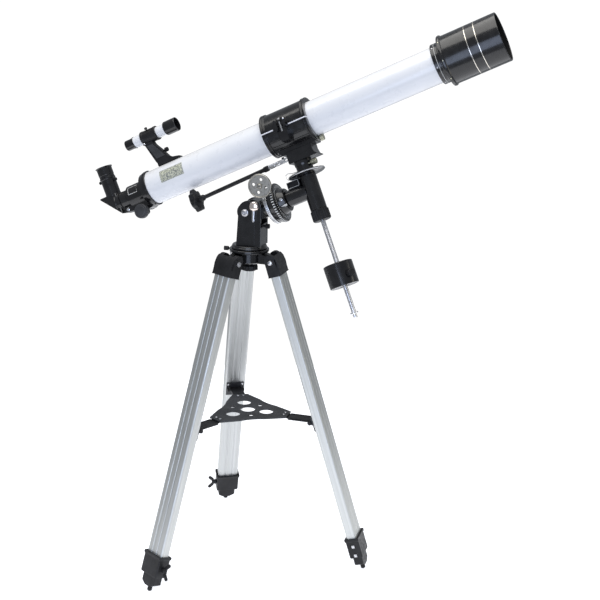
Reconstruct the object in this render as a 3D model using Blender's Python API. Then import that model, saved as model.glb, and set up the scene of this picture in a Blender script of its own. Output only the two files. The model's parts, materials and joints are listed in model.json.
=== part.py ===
"""Small refractor telescope on an equatorial mount and an aluminium tripod.

Metres, +Z up.  The feet stand on z = 0 and the tube points along +X, 25 degrees above the horizon.
Each named mesh object is one sub-part; empties carry the joint axes.
"""
import bpy
import bmesh
from math import sin, cos, radians, pi, hypot
from mathutils import Matrix, Vector

# ---------------------------------------------------------------- driving dimensions
SHIFT = (-0.0784, 0.0, 0.0001)       # places the bounding box's base centre on the origin
LEAN = radians(17.65)                # slope of a leg from the vertical
FOOT_R = 0.2902                      # radius of the circle through the foot tips
LEG_AZ = (0.0, 120.0, 240.0)
LEG_X, LEG_Y = 0.0120, 0.0253        # half thickness and half width of the outer leg section
WING_Z = 0.0600                      # height of the wing screw on the leg clamp
PIVOT_L = (-0.002, 0.760)            # leg pivot in the leg's own x, z
HUB_Z0, HUB_Z1, HEAD_Z = 0.7155, 0.7405, 0.7480
TRAY_Z = 0.3630                      # top face of the tray
LAT = radians(25.16)                 # polar axis above the horizon
LAT_PIVOT = (-0.002, 0.0, 0.832)
RA_REACH, RA_DROP = 0.1552, 0.0100   # from the latitude pivot to the crossing of the two axes
RA_TURN = radians(-12.94)            # rest position of the hour axis
TUBE_Q = 0.143                       # tube axis above the polar axis
TUBE_R, TUBE_WALL = 0.0385, 0.0012
FINDER_Q = TUBE_Q + 0.1145
GAP = 0.0003
FINENESS = 0.56                      # scales every facet count below

for ob in list(bpy.data.objects):
    bpy.data.objects.remove(ob, do_unlink=True)


def material(name, rgb, metallic, rough):
    m = bpy.data.materials.new(name)
    m.use_nodes = True
    b = m.node_tree.nodes["Principled BSDF"]
    b.inputs["Base Color"].default_value = (*rgb, 1)
    b.inputs["Metallic"].default_value = metallic
    b.inputs["Roughness"].default_value = rough
    m.diffuse_color = (*rgb, 1)
    return m


BLACK = material("black_enamel", (0.02, 0.02, 0.022), 0.0, 0.35)
PLASTIC = material("black_plastic", (0.025, 0.025, 0.027), 0.0, 0.5)
WHITE = material("white_enamel", (0.86, 0.86, 0.88), 0.0, 0.25)
ALU = material("anodised_aluminium", (0.72, 0.74, 0.74), 0.9, 0.35)
CHROME = material("chrome", (0.8, 0.8, 0.8), 1.0, 0.12)
GLASS = material("coated_glass", (0.10, 0.12, 0.16), 0.0, 0.05)


# ---------------------------------------------------------------- construction helpers
def turn(axis):
    """Matrix that lays a +Z lathe axis along x, y or z."""
    return {"z": Matrix.Identity(4),
            "x": Matrix(((0, 0, 1, 0), (1, 0, 0, 0), (0, 1, 0, 0), (0, 0, 0, 1))),
            "y": Matrix(((0, 1, 0, 0), (0, 0, 1, 0), (1, 0, 0, 0), (0, 0, 0, 1)))}[axis]


def lathe(bm, profile, axis="z", at=(0, 0, 0), seg=32, lobes=0, depth=0.0, lobe_min=0.0):
    """Revolve a closed outline of (radius, height); lobes scallop every radius above lobe_min."""
    m = Matrix.Translation(at) @ turn(axis)
    seg = seg if lobes else max(10, 2 * round(seg * FINENESS / 2))
    rings = []
    for r, h in profile:
        if r < 1e-7:
            rings.append([bm.verts.new(m @ Vector((0, 0, h)))])
            continue
        ring = []
        for i in range(seg):
            a = 2 * pi * i / seg
            rr = r - (depth * (0.5 - 0.5 * cos(lobes * a)) if lobes and r > lobe_min else 0.0)
            ring.append(bm.verts.new(m @ Vector((rr * cos(a), rr * sin(a), h))))
        rings.append(ring)
    for k in range(len(rings)):
        a, b = rings[k], rings[(k + 1) % len(rings)]
        if len(a) == 1 and len(b) == 1:
            continue
        for i in range(seg):
            j = (i + 1) % seg
            if len(a) == 1:
                bm.faces.new((a[0], b[i], b[j]))
            elif len(b) == 1:
                bm.faces.new((a[i], b[0], a[j]))
            else:
                bm.faces.new((a[i], b[i], b[j], a[j]))
    return bm


def rod(bm, r, lo, hi, axis="z", at=(0, 0, 0), seg=24):
    return lathe(bm, [(0, lo), (r, lo), (r, hi), (0, hi)], axis, at, seg)


def pipe(bm, r, inner, lo, hi, axis="z", at=(0, 0, 0), seg=40):
    return lathe(bm, [(inner, lo), (r, lo), (r, hi), (inner, hi)], axis, at, seg)


def place(a, b, c, axis):
    return {"x": (c, a, b), "y": (a, c, b), "z": (a, b, c)}[axis]


def prism(bm, outline, lo, hi, axis="y"):
    """Extrude an outline; axis y takes (x, z) pairs, z takes (x, y), x takes (y, z)."""
    low = [bm.verts.new(place(a, b, lo, axis)) for a, b in outline]
    top = [bm.verts.new(place(a, b, hi, axis)) for a, b in outline]
    bm.faces.new(low)
    bm.faces.new(list(reversed(top)))
    for i in range(len(low)):
        j = (i + 1) % len(low)
        bm.faces.new((low[i], top[i], top[j], low[j]))
    return bm


def sleeve(bm, outer, inner, lo, hi, axis="z"):
    """Extrude a ring between two outlines with the same number of corners."""
    rows = [[bm.verts.new(place(a, b, c, axis)) for a, b in line]
            for line, c in ((outer, lo), (outer, hi), (inner, hi), (inner, lo))]
    for k in range(4):
        a, b = rows[k], rows[(k + 1) % 4]
        for i in range(len(a)):
            j = (i + 1) % len(a)
            bm.faces.new((a[i], a[j], b[j], b[i]))
    return bm


def box(bm, x0, x1, y0, y1, z0, z1):
    return prism(bm, [(x0, y0), (x1, y0), (x1, y1), (x0, y1)], z0, z1, "z")


def arc(cx, cy, r, a0, a1, n):
    return [(cx + r * cos(radians(a0 + (a1 - a0) * i / n)), cy + r * sin(radians(a0 + (a1 - a0) * i / n)))
            for i in range(n + 1)]


def rounded(hx, hy, r, n=3):
    return (arc(hx - r, hy - r, r, 0, 90, n) + arc(-hx + r, hy - r, r, 90, 180, n)
            + arc(-hx + r, -hy + r, r, 180, 270, n) + arc(hx - r, -hy + r, r, 270, 360, n))


def node(name, bm, mat, parent, angle=35):
    bmesh.ops.recalc_face_normals(bm, faces=bm.faces)
    me = bpy.data.meshes.new(name)
    bm.to_mesh(me)
    bm.free()
    me.materials.append(mat)
    me.polygons.foreach_set("use_smooth", [True] * len(me.polygons))
    me.set_sharp_from_angle(angle=radians(angle))
    ob = bpy.data.objects.new(name, me)
    bpy.context.scene.collection.objects.link(ob)
    ob.parent = parent
    return ob


def combine(ob, bm, op):
    """Join or cut with a hidden helper that shares the object's frame."""
    helper = node("helper_%s_%d" % (ob.name, len(ob.modifiers)), bm, ob.data.materials[0], ob)
    helper.hide_render = True
    helper.display_type = "WIRE"
    mod = ob.modifiers.new(op.lower() + str(len(ob.modifiers)), "BOOLEAN")
    mod.object = helper
    mod.operation = op
    mod.solver = "EXACT"
    return ob


def frame(name, parent, at=(0, 0, 0), rot=None):
    e = bpy.data.objects.new(name, None)
    bpy.context.scene.collection.objects.link(e)
    e.parent = parent
    e.matrix_local = Matrix.Translation(at) @ (rot or Matrix.Identity(4))
    return e


def new():
    return bmesh.new()


root = frame("root", None, SHIFT)

# ---------------------------------------------------------------- tripod head
hub = node("tripod_hub", lathe(new(), [
    (0.0063, HUB_Z0), (0.027, HUB_Z0), (0.031, HUB_Z0 + 0.003), (0.031, HUB_Z1 - 0.001), (0.0425, HUB_Z1),
    (0.0445, HUB_Z1 + 0.0015), (0.0445, HEAD_Z - 0.001), (0.0435, HEAD_Z), (0.0063, HEAD_Z)], seg=48),
    BLACK, root)
pin_r = FOOT_R + PIVOT_L[0] * cos(LEAN) - PIVOT_L[1] * sin(LEAN)
pin_z = PIVOT_L[0] * sin(LEAN) + PIVOT_L[1] * cos(LEAN)
tongues, holes = new(), new()
for az in LEG_AZ:
    one = new()
    prism(one, [(0.022, HUB_Z0 + 0.0008), (pin_r, pin_z - 0.0078)] + arc(pin_r, pin_z, 0.0078, -60, 90, 5)
          + [(0.030, HUB_Z1 - 0.0015), (0.022, HUB_Z1 - 0.0015)], -0.0160, 0.0160)
    hole = rod(new(), 0.0034, -0.03, 0.03, "y", (pin_r, 0, pin_z), 16)
    for src, dst in ((one, tongues), (hole, holes)):
        src.transform(Matrix.Rotation(radians(az), 4, "Z"))
        me = bpy.data.meshes.new("tmp")
        src.to_mesh(me)
        src.free()
        dst.from_mesh(me)
        bpy.data.meshes.remove(me)
combine(hub, tongues, "UNION")
combine(hub, holes, "DIFFERENCE")

node("centre_bolt", lathe(new(), [
    (0, 0.6965), (0.017, 0.6965), (0.0202, 0.6985), (0.0202, 0.7085), (0.017, 0.7110), (0.0125, 0.7112),
    (0.0125, 0.7150), (0.0060, 0.7150), (0.0060, 0.7545), (0, 0.7545)], seg=32, lobes=8, depth=0.0028,
    lobe_min=0.015), PLASTIC, root)
LOCK = Matrix.Translation((0, 0, 0.7443)) @ Matrix.Rotation(radians(188), 4, "Z")
lock = frame("azimuth_lock_axis", root, (0, 0, 0), LOCK)
node("azimuth_lock_knob", lathe(new(), [
    (0, 0.0390), (0.0022, 0.0390), (0.0022, 0.0460), (0.0046, 0.0470), (0.0050, 0.0500), (0.0050, 0.0560),
    (0.0040, 0.0580), (0, 0.0580)], "x", seg=24), PLASTIC, lock)
combine(hub, lathe(new(), [(0, 0.0385), (0.0025, 0.0385), (0.0025, 0.06), (0, 0.06)], "x", seg=16), "DIFFERENCE")
hub.modifiers[-1].object.matrix_local = LOCK

# ---------------------------------------------------------------- legs


def leg_section(hx, hy, r, groove):
    """Half turn symmetric outline with two grooves down to x = groove on each wide face."""
    side = arc(hx - r, -hy + r, r, -90, 0, 3)
    for y in (-0.0080, 0.0080):
        side += [(hx, y - 0.0019), (groove, y - 0.0013), (groove, y + 0.0013), (hx, y + 0.0019)]
    side += arc(hx - r, hy - r, r, 0, 90, 3)
    return side + [(-x, -y) for x, y in side]


for k, az in enumerate(LEG_AZ, 1):
    leg = frame("leg_frame_%d" % k, root, (0, 0, 0), Matrix.Rotation(radians(az), 4, "Z")
                @ Matrix.Translation((FOOT_R, 0, 0)) @ Matrix.Rotation(-LEAN, 4, "Y"))
    # top bracket that straddles the hub's tongue
    br = node("leg_bracket_%d" % k, prism(new(), [
        (-0.0148, 0.7265), (0.0148, 0.7265), (0.0155, 0.7520), (0.0128, 0.7660), (0.0070, 0.7745),
        (-0.0020, 0.7790), (-0.0105, 0.7770), (-0.0148, 0.7670)], -0.0290, 0.0290), PLASTIC, leg)
    slot = box(new(), -0.030, 0.0082, -0.0164, 0.0164, 0.7420, 0.800)
    combine(br, slot, "DIFFERENCE")
    combine(br, box(new(), -LEG_X - GAP, LEG_X + GAP, -LEG_Y - GAP, LEG_Y + GAP, 0.710, 0.7355), "DIFFERENCE")
    combine(br, rod(new(), 0.0034, -0.04, 0.04, "y", (PIVOT_L[0], 0, PIVOT_L[1]), 16), "DIFFERENCE")
    node("leg_pivot_%d" % k, lathe(new(), [
        (0, -0.0330), (0.0050, -0.0330), (0.0058, -0.0318), (0.0058, -0.0293), (0.0030, -0.0293),
        (0.0030, 0.0293), (0.0058, 0.0293), (0.0058, 0.0318), (0.0050, 0.0330), (0, 0.0330)],
        "y", (PIVOT_L[0], 0, PIVOT_L[1]), 24), CHROME, leg)
    # outer section, a grooved hollow extrusion
    outer = leg_section(LEG_X, LEG_Y, 0.0050, LEG_X - 0.0009)
    inner = leg_section(0.0102, 0.0236, 0.0015, 0.0102)
    node("leg_outer_%d" % k, sleeve(new(), outer, inner, 0.0760, 0.7350), ALU, leg, 50)
    # lower clamp
    cl = node("leg_clamp_%d" % k, prism(new(), rounded(0.0157, 0.0280, 0.0035), 0.0400, 0.0860, "z"), PLASTIC, leg)
    combine(cl, prism(new(), rounded(0.0174, 0.0298, 0.0040), 0.0825, 0.0878, "z"), "UNION")
    combine(cl, box(new(), -0.0103, 0.0103, -0.0236, 0.0236, 0.030, 0.100), "DIFFERENCE")
    combine(cl, box(new(), -LEG_X - GAP, LEG_X + GAP, -LEG_Y - GAP, LEG_Y + GAP, 0.0757, 0.100), "DIFFERENCE")
    combine(cl, rod(new(), 0.0028, 0.015, 0.05, "y", (0, 0, WING_Z), 16), "DIFFERENCE")
    # inner section with its foot
    low = node("leg_inner_%d" % k, prism(new(), rounded(0.0098, 0.0231, 0.0025), 0.0385, 0.6000, "z"), ALU, leg)
    combine(low, prism(new(), rounded(0.0083, 0.0216, 0.0018), 0.0600, 0.7000, "z"), "DIFFERENCE")
    foot = prism(new(), [(-0.0205, 0.0392), (-0.0205, 0.0205), (-0.0085, 0.0135), (0.0085, 0.0135),
                         (0.0205, 0.0205), (0.0205, 0.0392)], -0.0108, 0.0108, "x")
    combine(low, foot, "UNION")
    tip = lathe(new(), [(0, 0), (0.0026, 0.0007), (0.0043, 0.0024), (0.0050, 0.0050), (0.0054, 0.0180),
                        (0, 0.0180)], seg=20)
    combine(low, tip, "UNION")
    # wing screw that locks the inner section
    wing = node("leg_wing_screw_%d" % k, lathe(new(), [
        (0, 0.0241), (0.0025, 0.0241), (0.0025, 0.0284), (0.0058, 0.0284), (0.0062, 0.0300),
        (0.0052, 0.0385), (0, 0.0385)], "y", (0, 0, WING_Z), 20), PLASTIC, leg)
    combine(wing, prism(new(), [(-0.0040, 0.0300), (0.0040, 0.0300), (0.0165, 0.0420), (0.0178, 0.0485),
                                (0.0120, 0.0495), (0.0035, 0.0375), (-0.0035, 0.0375), (-0.0120, 0.0495),
                                (-0.0178, 0.0485), (-0.0165, 0.0420)], -0.0016, 0.0016, "x"), "UNION")
    wing.modifiers[-1].object.matrix_local = (Matrix.Translation((0, 0, WING_Z))
                                              @ Matrix(((1, 0, 0, 0), (0, 0, 1, 0), (0, 1, 0, 0), (0, 0, 0, 1))))

# ---------------------------------------------------------------- accessory tray and its three arms
edge = []
for az in LEG_AZ:
    for da, r in ((-10.8, 0.1010), (10.8, 0.1010), (36.0, 0.0700), (60.0, 0.0600), (84.0, 0.0700)):
        a = radians(az + da)
        edge.append((r * cos(a), r * sin(a)))
tray = node("tray_plate", prism(new(), edge, TRAY_Z - 0.0040, TRAY_Z, "z"), PLASTIC, root)
cuts = rod(new(), 0.0175, 0.30, 0.40, seg=32)
for az in LEG_AZ:
    a, b = radians(az), radians(az + 60)
    rod(cuts, 0.0165, 0.30, 0.40, at=(0.0450 * cos(a), 0.0450 * sin(a), 0), seg=28)
    rod(cuts, 0.0066, 0.30, 0.40, at=(0.0380 * cos(b), 0.0380 * sin(b), 0), seg=20)
combine(tray, cuts, "DIFFERENCE")
z_leg = (TRAY_Z + LEG_X * sin(LEAN)) / cos(LEAN)
r_leg = FOOT_R - z_leg * sin(LEAN) - LEG_X * cos(LEAN)
for k, az in enumerate(LEG_AZ, 1):
    spoke = frame("tray_arm_frame_%d" % k, root, (0, 0, 0), Matrix.Rotation(radians(az), 4, "Z"))
    top = TRAY_Z - 0.0040 - GAP
    arm = node("tray_arm_%d" % k, prism(new(), [
        (0.0790, -0.0115), (0.1080, -0.0145), (r_leg + 0.0004, -0.0145), (r_leg + 0.0004, 0.0145),
        (0.1080, 0.0145), (0.0790, 0.0115)], top - 0.0030, top, "z"), PLASTIC, spoke)
    rise = sin(LEAN) / cos(LEAN)
    gap = GAP / cos(LEAN)
    x0 = lambda z: FOOT_R - LEG_X / cos(LEAN) - z * rise - gap

    plate = prism(new(), [(x0(z0) - t, z0) for z0, t in ((top + 0.0130, 0.0), (top - 0.0225, 0.0),
                                                           (top - 0.0225, 0.0022), (top + 0.0130, 0.0022))],
                  -0.0218, 0.0218)
    combine(arm, plate, "UNION")
    combine(arm, rod(new(), 0.0034, -0.0200, 0.0200, "y", (r_leg - 0.0075, 0, top - 0.0050), 16), "UNION")
    knuckle = new()
    for s in (-1, 1):
        lathe(knuckle, [(0, 0.0165 * s), (0.0048, 0.0165 * s), (0.0048, 0.0212 * s), (0, 0.0212 * s)],
              "y", (r_leg - 0.0075, 0, top - 0.0050), 20)
    combine(arm, knuckle, "UNION")
    window = new()
    box(window, 0.1105, 0.1250, -0.0030, 0.0030, top - 0.02, top + 0.02)
    combine(arm, window, "DIFFERENCE")

# ---------------------------------------------------------------- yoke, turns in azimuth
az_axis = frame("azimuth_axis", root)
yoke = node("yoke", lathe(new(), [
    (0, 0.7575), (0.0370, 0.7575), (0.0385, 0.7560), (0.0400, 0.7535), (0.0400, 0.7500), (0.0390, HEAD_Z + 0.0004),
    (0.0064, HEAD_Z + 0.0004), (0.0064, 0.7552), (0, 0.7552)], seg=48), BLACK, az_axis)
cheek = ([(-0.0225, 0.7562), (0.0343, 0.7562)] + arc(0.0245, 0.8487, 0.0098, 0, 90, 4)
         + arc(0.0045, 0.8365, 0.0220, 90, 180, 8))
cheeks = new()
for y0, y1 in ((-0.0270, -0.0213), (0.0213, 0.0270)):
    prism(cheeks, cheek, y0, y1)
combine(yoke, cheeks, "UNION")
combine(yoke, box(new(), 0.0285, 0.0338, -0.0225, 0.0225, 0.7562, 0.8080), "UNION")
bores = rod(new(), 0.0043, -0.04, 0.04, "y", LAT_PIVOT, 20)
rod(bores, 0.0033, -0.04, 0.0, "y", (0.0205, 0, 0.8487), 16)
rod(bores, 0.0033, 0.02, 0.05, "x", (0, 0, 0.8000), 16)
combine(yoke, bores, "DIFFERENCE")
node("latitude_bolt", lathe(new(), [
    (0, -0.0310), (0.0070, -0.0310), (0.0080, -0.0300), (0.0080, -0.0273), (0.0040, -0.0273),
    (0.0040, 0.0273), (0.0080, 0.0273), (0.0080, 0.0310), (0, 0.0310)], "y", LAT_PIVOT, 28), CHROME, az_axis)
lever = node("latitude_lever", lathe(new(), [
    (0, -0.0385), (0.0085, -0.0385), (0.0108, -0.0365), (0.0108, -0.0290), (0.0090, -0.0274),
    (0.0030, -0.0274), (0.0030, -0.0215), (0, -0.0215)], "y", (0.0205, 0, 0.8487), 28), CHROME, az_axis)
combine(lever, prism(new(), [(0.0168, 0.8440), (0.0222, 0.8440), (0.0212, 0.8150), (0.0196, 0.8133),
                             (0.0180, 0.8133), (0.0165, 0.8150)], -0.0345, -0.0305), "UNION")
node("latitude_screw", lathe(new(), [
    (0, 0.0240), (0.0030, 0.0240), (0.0030, 0.0375), (0.0050, 0.0380), (0.0056, 0.0395), (0.0056, 0.0455),
    (0.0048, 0.0470), (0, 0.0470)], "x", (0, 0, 0.8000), 20), PLASTIC, az_axis)

# ---------------------------------------------------------------- polar block, tilts in latitude
lat_axis = frame("latitude_axis", az_axis, LAT_PIVOT, Matrix.Rotation(-LAT, 4, "Y"))
ra_fixed = frame("polar_frame", lat_axis, (RA_REACH, 0, -RA_DROP))
px, pz = -RA_REACH, RA_DROP
blk = node("polar_block", prism(new(), arc(px, pz, 0.0205, 90, 270, 12)
                                + [(-0.1340, -0.0172), (-0.1180, -0.0200), (-0.1180, 0.0215), (-0.1300, 0.0305)],
                                -0.0207, 0.0207), BLACK, ra_fixed)
combine(blk, rod(new(), 0.0200, -0.1250, -0.1045, "x", seg=32), "UNION")
carve = rod(new(), 0.0084, -0.1480, -0.09, "x", seg=24)
combine(blk, carve, "DIFFERENCE")
combine(blk, rod(new(), 0.0043, -0.04, 0.04, "y", (px, 0, pz), 20), "DIFFERENCE")
# worm wheel cover with the worm bearing above it
WORM = (-0.0912, 0.0518)
cover = node("worm_wheel", lathe(new(), [
    (0.0084, -0.1042), (0.0340, -0.1042), (0.0405, -0.1030), (0.0412, -0.1010), (0.0412, -0.0965),
    (0.0400, -0.0950), (0.0084, -0.0950)], "x", seg=48), CHROME, ra_fixed)
bearing = new()
box(bearing, -0.1045, -0.0950, -0.0270, -0.0100, 0.0330, 0.0590)
combine(cover, bearing, "UNION")
combine(cover, box(new(), -0.0960, WORM[0] + 0.0070, -0.0265, -0.0105, 0.0455, 0.0585), "UNION")
combine(cover, rod(new(), 0.0040, -0.06, -0.0130, "y", (WORM[0], 0, WORM[1]), 16), "DIFFERENCE")
wheel = node("polar_handwheel", lathe(new(), [
    (0, -0.0520), (0.0050, -0.0520), (0.0055, -0.0500), (0.0240, -0.0490), (0.0258, -0.0500), (0.0266, -0.0485),
    (0.0266, -0.0445), (0.0258, -0.0435), (0.0055, -0.0440), (0.0055, -0.0290), (0.0037, -0.0290),
    (0.0037, -0.0150), (0, -0.0150)], "y", (WORM[0], 0, WORM[1]), 48), CHROME, ra_fixed)
four = new()
for i in range(4):
    a = radians(35 + 90 * i)
    rod(four, 0.0036, -0.06, -0.03, "y", (WORM[0] + 0.0142 * cos(a), 0, WORM[1] + 0.0142 * sin(a)), 16)
combine(wheel, four, "DIFFERENCE")

# ---------------------------------------------------------------- declination housing, turns about the polar axis
ra_axis = frame("hour_axis", ra_fixed, (0, 0, 0), Matrix.Rotation(RA_TURN, 4, "X"))
dh = node("declination_housing", lathe(new(), [
    (0.0084, -0.0200), (0.0084, 0.0335), (0.0178, 0.0335), (0.0185, 0.0325), (0.0185, -0.0450), (0.0178, -0.0465),
    (0.0197, -0.0478), (0.0200, -0.0490), (0.0200, -0.0695), (0.0190, -0.0710), (0.0059, -0.0710),
    (0.0059, -0.0400), (0, -0.0400), (0, -0.0200)], seg=40), BLACK, ra_axis)
combine(dh, lathe(new(), [(0, -0.0585), (0.0172, -0.0585), (0.0185, -0.0572), (0.0180, -0.0100), (0, -0.0100)],
                  "x", seg=32), "UNION")
combine(dh, rod(new(), 0.0080, -0.1440, -0.0500, "x", seg=24), "UNION")
combine(dh, rod(new(), 0.0085, -0.0195, 0.05, seg=32), "DIFFERENCE")
combine(dh, box(new(), -0.0485, -0.0150, -0.0120, 0.0120, 0.0150, 0.0330), "UNION")
combine(dh, box(new(), -0.0452, -0.0215, -0.02, 0.02, 0.0215, 0.0302), "DIFFERENCE")
node("hour_circle", lathe(new(), [
    (0.0084, -0.0946), (0.0380, -0.0946), (0.0400, -0.0935), (0.0436, -0.0840), (0.0443, -0.0825),
    (0.0443, -0.0770), (0.0430, -0.0755), (0.0300, -0.0740), (0.0255, -0.0600), (0.0240, -0.0588),
    (0.0084, -0.0588)], "x", seg=48), BLACK, ra_axis)
lk = node("hour_lock_screw", lathe(new(), [
    (0, -0.0352), (0.0032, -0.0352), (0.0036, -0.0344), (0.0036, -0.0290), (0.0018, -0.0290),
    (0.0018, -0.0200), (0, -0.0200)], "y", (-0.0645, 0, 0.0), 16), CHROME, ra_axis)
combine(bpy.data.objects["hour_circle"], rod(new(), 0.0021, -0.05, -0.0190, "y", (-0.0645, 0, 0), 16), "DIFFERENCE")
node("declination_circle", lathe(new(), [
    (0.0084, 0.0338), (0.0330, 0.0338), (0.0408, 0.0362), (0.0416, 0.0372), (0.0412, 0.0384), (0.0240, 0.0415),
    (0.0084, 0.0415)], seg=48), BLACK, ra_axis)
node("counterweight_shaft", lathe(new(), [
    (0, -0.0410), (0.0056, -0.0410), (0.0056, -0.2810), (0.0088, -0.2813), (0.0092, -0.2825), (0.0088, -0.2850),
    (0.0050, -0.2853), (0.0050, -0.2925), (0.0038, -0.2940), (0, -0.2940)], seg=24), CHROME, ra_axis)
cw = node("counterweight", lathe(new(), [
    (0.0061, -0.1700), (0.0305, -0.1700), (0.0325, -0.1718), (0.0325, -0.2202), (0.0305, -0.2220),
    (0.0061, -0.2220)], seg=48), BLACK, ra_axis)
CLAMP = Matrix.Translation((0, 0, -0.2000)) @ Matrix.Rotation(radians(-40), 4, "Z")
combine(cw, rod(new(), 0.0033, 0.0, 0.05, "x", seg=16), "DIFFERENCE")
cw.modifiers[-1].object.matrix_local = CLAMP
clamp_axis = frame("counterweight_clamp_axis", ra_axis, (0, 0, 0), CLAMP)
node("counterweight_knob", lathe(new(), [
    (0, 0.0064), (0.0030, 0.0064), (0.0030, 0.0330), (0.0078, 0.0335), (0.0090, 0.0350), (0.0090, 0.0440),
    (0.0080, 0.0458), (0, 0.0458)], "x", seg=24), PLASTIC, clamp_axis)

# ---------------------------------------------------------------- saddle, turns about the declination axis
dec_axis = frame("declination_axis", ra_axis)
sd = node("saddle", prism(new(), [
    (-0.0250, 0.0662), (0.0428, 0.0662), (0.0438, 0.0677), (0.0383, 0.0722), (0.0358, 0.0830), (0.0364, 0.0925),
    (-0.0356, 0.0925), (-0.0356, 0.0893), (-0.0246, 0.0870)], -0.0210, 0.0210), BLACK, dec_axis)
combine(sd, lathe(new(), [(0, 0.0050), (0.0080, 0.0050), (0.0080, 0.0418), (0.0175, 0.0418), (0.0185, 0.0430),
                          (0.0185, 0.0560), (0.0200, 0.0600), (0.0200, 0.0700), (0, 0.0700)], seg=32), "UNION")
CONTROL = Matrix.Translation((0, -0.0140, 0.0800)) @ Matrix.Rotation(-radians(1.5), 4, "Y")
combine(sd, rod(new(), 0.0042, -0.06, 0.0090, "x", seg=16), "DIFFERENCE")
sd.modifiers[-1].object.matrix_local = CONTROL
combine(sd, rod(new(), 0.0025, 0.0120, 0.04, "x", (0, -0.0100, 0.0545), 16), "DIFFERENCE")
node("declination_lock_knob", lathe(new(), [
    (0, 0.0125), (0.0022, 0.0125), (0.0022, 0.0202), (0.0060, 0.0204), (0.0067, 0.0214), (0.0067, 0.0333),
    (0.0057, 0.0345), (0, 0.0345)], "x", (0, -0.0100, 0.0545), 24), CHROME, dec_axis)
node("saddle_screw", lathe(new(), [
    (0, 0.0310), (0.0030, 0.0310), (0.0030, 0.0547), (0.0060, 0.0550), (0.0068, 0.0562), (0.0068, 0.0630),
    (0.0060, 0.0642), (0, 0.0642)], "x", (0, 0, 0.0975), 24), CHROME, dec_axis)
# slow motion control: shaft, universal joint, sleeve and lobed knob turn together
ctl_axis = frame("declination_control_axis", dec_axis, (0, 0, 0), CONTROL)
ctl = node("declination_control", lathe(new(), [
    (0, 0.0080), (0.0038, 0.0080), (0.0038, -0.0375), (0.0056, -0.0380), (0.0056, -0.0560), (0.0034, -0.0565),
    (0.0034, -0.0740), (0.0060, -0.0745), (0.0064, -0.0850), (0.0046, -0.0880), (0.0046, -0.2410),
    (0.0070, -0.2430), (0.0075, -0.2590), (0, -0.2590)], "x", seg=24), PLASTIC, ctl_axis)
combine(ctl, lathe(new(), [
    (0, -0.2530), (0.0215, -0.2560), (0.0265, -0.2580), (0.0268, -0.2680), (0.0240, -0.2720), (0, -0.2730)],
    "x", (0, 0, 0), 42, 7, 0.0042, 0.020), "UNION")

# ---------------------------------------------------------------- tube cradle


def shell(a0, a1, r_in, r_out, lo, hi, n):
    bm = new()
    ring = arc(0, TUBE_Q, r_out, a0, a1, n) + arc(0, TUBE_Q, r_in, a1, a0, n)
    return prism(bm, ring, lo, hi, "x")


SHELL_IN = TUBE_R + GAP
lower = node("cradle_lower", shell(182.2, 357.8, SHELL_IN, 0.0472, -0.0540, 0.0540, 24), BLACK, dec_axis)
for lo, hi in ((-0.0540, -0.0435), (0.0435, 0.0540)):
    combine(lower, shell(182.3, 357.7, SHELL_IN + 0.0003, 0.0496, lo - 0.0002, hi + 0.0002, 24), "UNION")
combine(lower, box(new(), -0.0400, 0.0480, -0.0195, 0.0195, 0.0928, 0.1038), "UNION")
combine(lower, rod(new(), 0.0033, 0.0300, 0.07, "x", (0, 0, 0.0975), 16), "DIFFERENCE")
lug = box(new(), -0.0150, 0.0080, -0.0600, -0.0450, 0.1150, 0.1405)
combine(lower, lug, "UNION")
combine(lower, box(new(), -0.0060, -0.0010, -0.0620, -0.0505, 0.1200, 0.1500), "DIFFERENCE")
ears = new()
for x in (-0.0330, 0.0330):
    box(ears, x - 0.0060, x + 0.0060, 0.0460, 0.0535, 0.1300, 0.1412)
combine(lower, ears, "UNION")
hinge_at = (0, 0.0530, TUBE_Q)
open_axis = frame("cradle_hinge_axis", dec_axis, hinge_at)
upper = node("cradle_upper", shell(2.2, 177.8, SHELL_IN, 0.0472, -0.0540, 0.0540, 24), BLACK, open_axis)
upper.location = (-hinge_at[0], -hinge_at[1], -hinge_at[2])
for lo, hi in ((-0.0540, -0.0435), (0.0435, 0.0540)):
    combine(upper, shell(2.3, 177.7, SHELL_IN + 0.0003, 0.0496, lo - 0.0002, hi + 0.0002, 24), "UNION")
combine(upper, box(new(), -0.0110, 0.0040, -0.0600, -0.0448, 0.1455, 0.1530), "UNION")
combine(upper, rod(new(), 0.0024, 0.1300, 0.1700, at=(-0.0035, -0.0545, 0), seg=16), "DIFFERENCE")
ears = new()
for x in (-0.0330, 0.0330):
    box(ears, x - 0.0060, x + 0.0060, 0.0460, 0.0535, 0.1446, 0.1560)
combine(upper, ears, "UNION")
knob = node("cradle_knob", lathe(new(), [
    (0, 0.1225), (0.0021, 0.1225), (0.0021, 0.1536), (0.0058, 0.1536), (0.0066, 0.1550), (0.0066, 0.1640),
    (0.0056, 0.1655), (0, 0.1655)], "z", (-0.0035, -0.0545, 0), 24), CHROME, open_axis)
knob.location = (-hinge_at[0], -hinge_at[1], -hinge_at[2])

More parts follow.
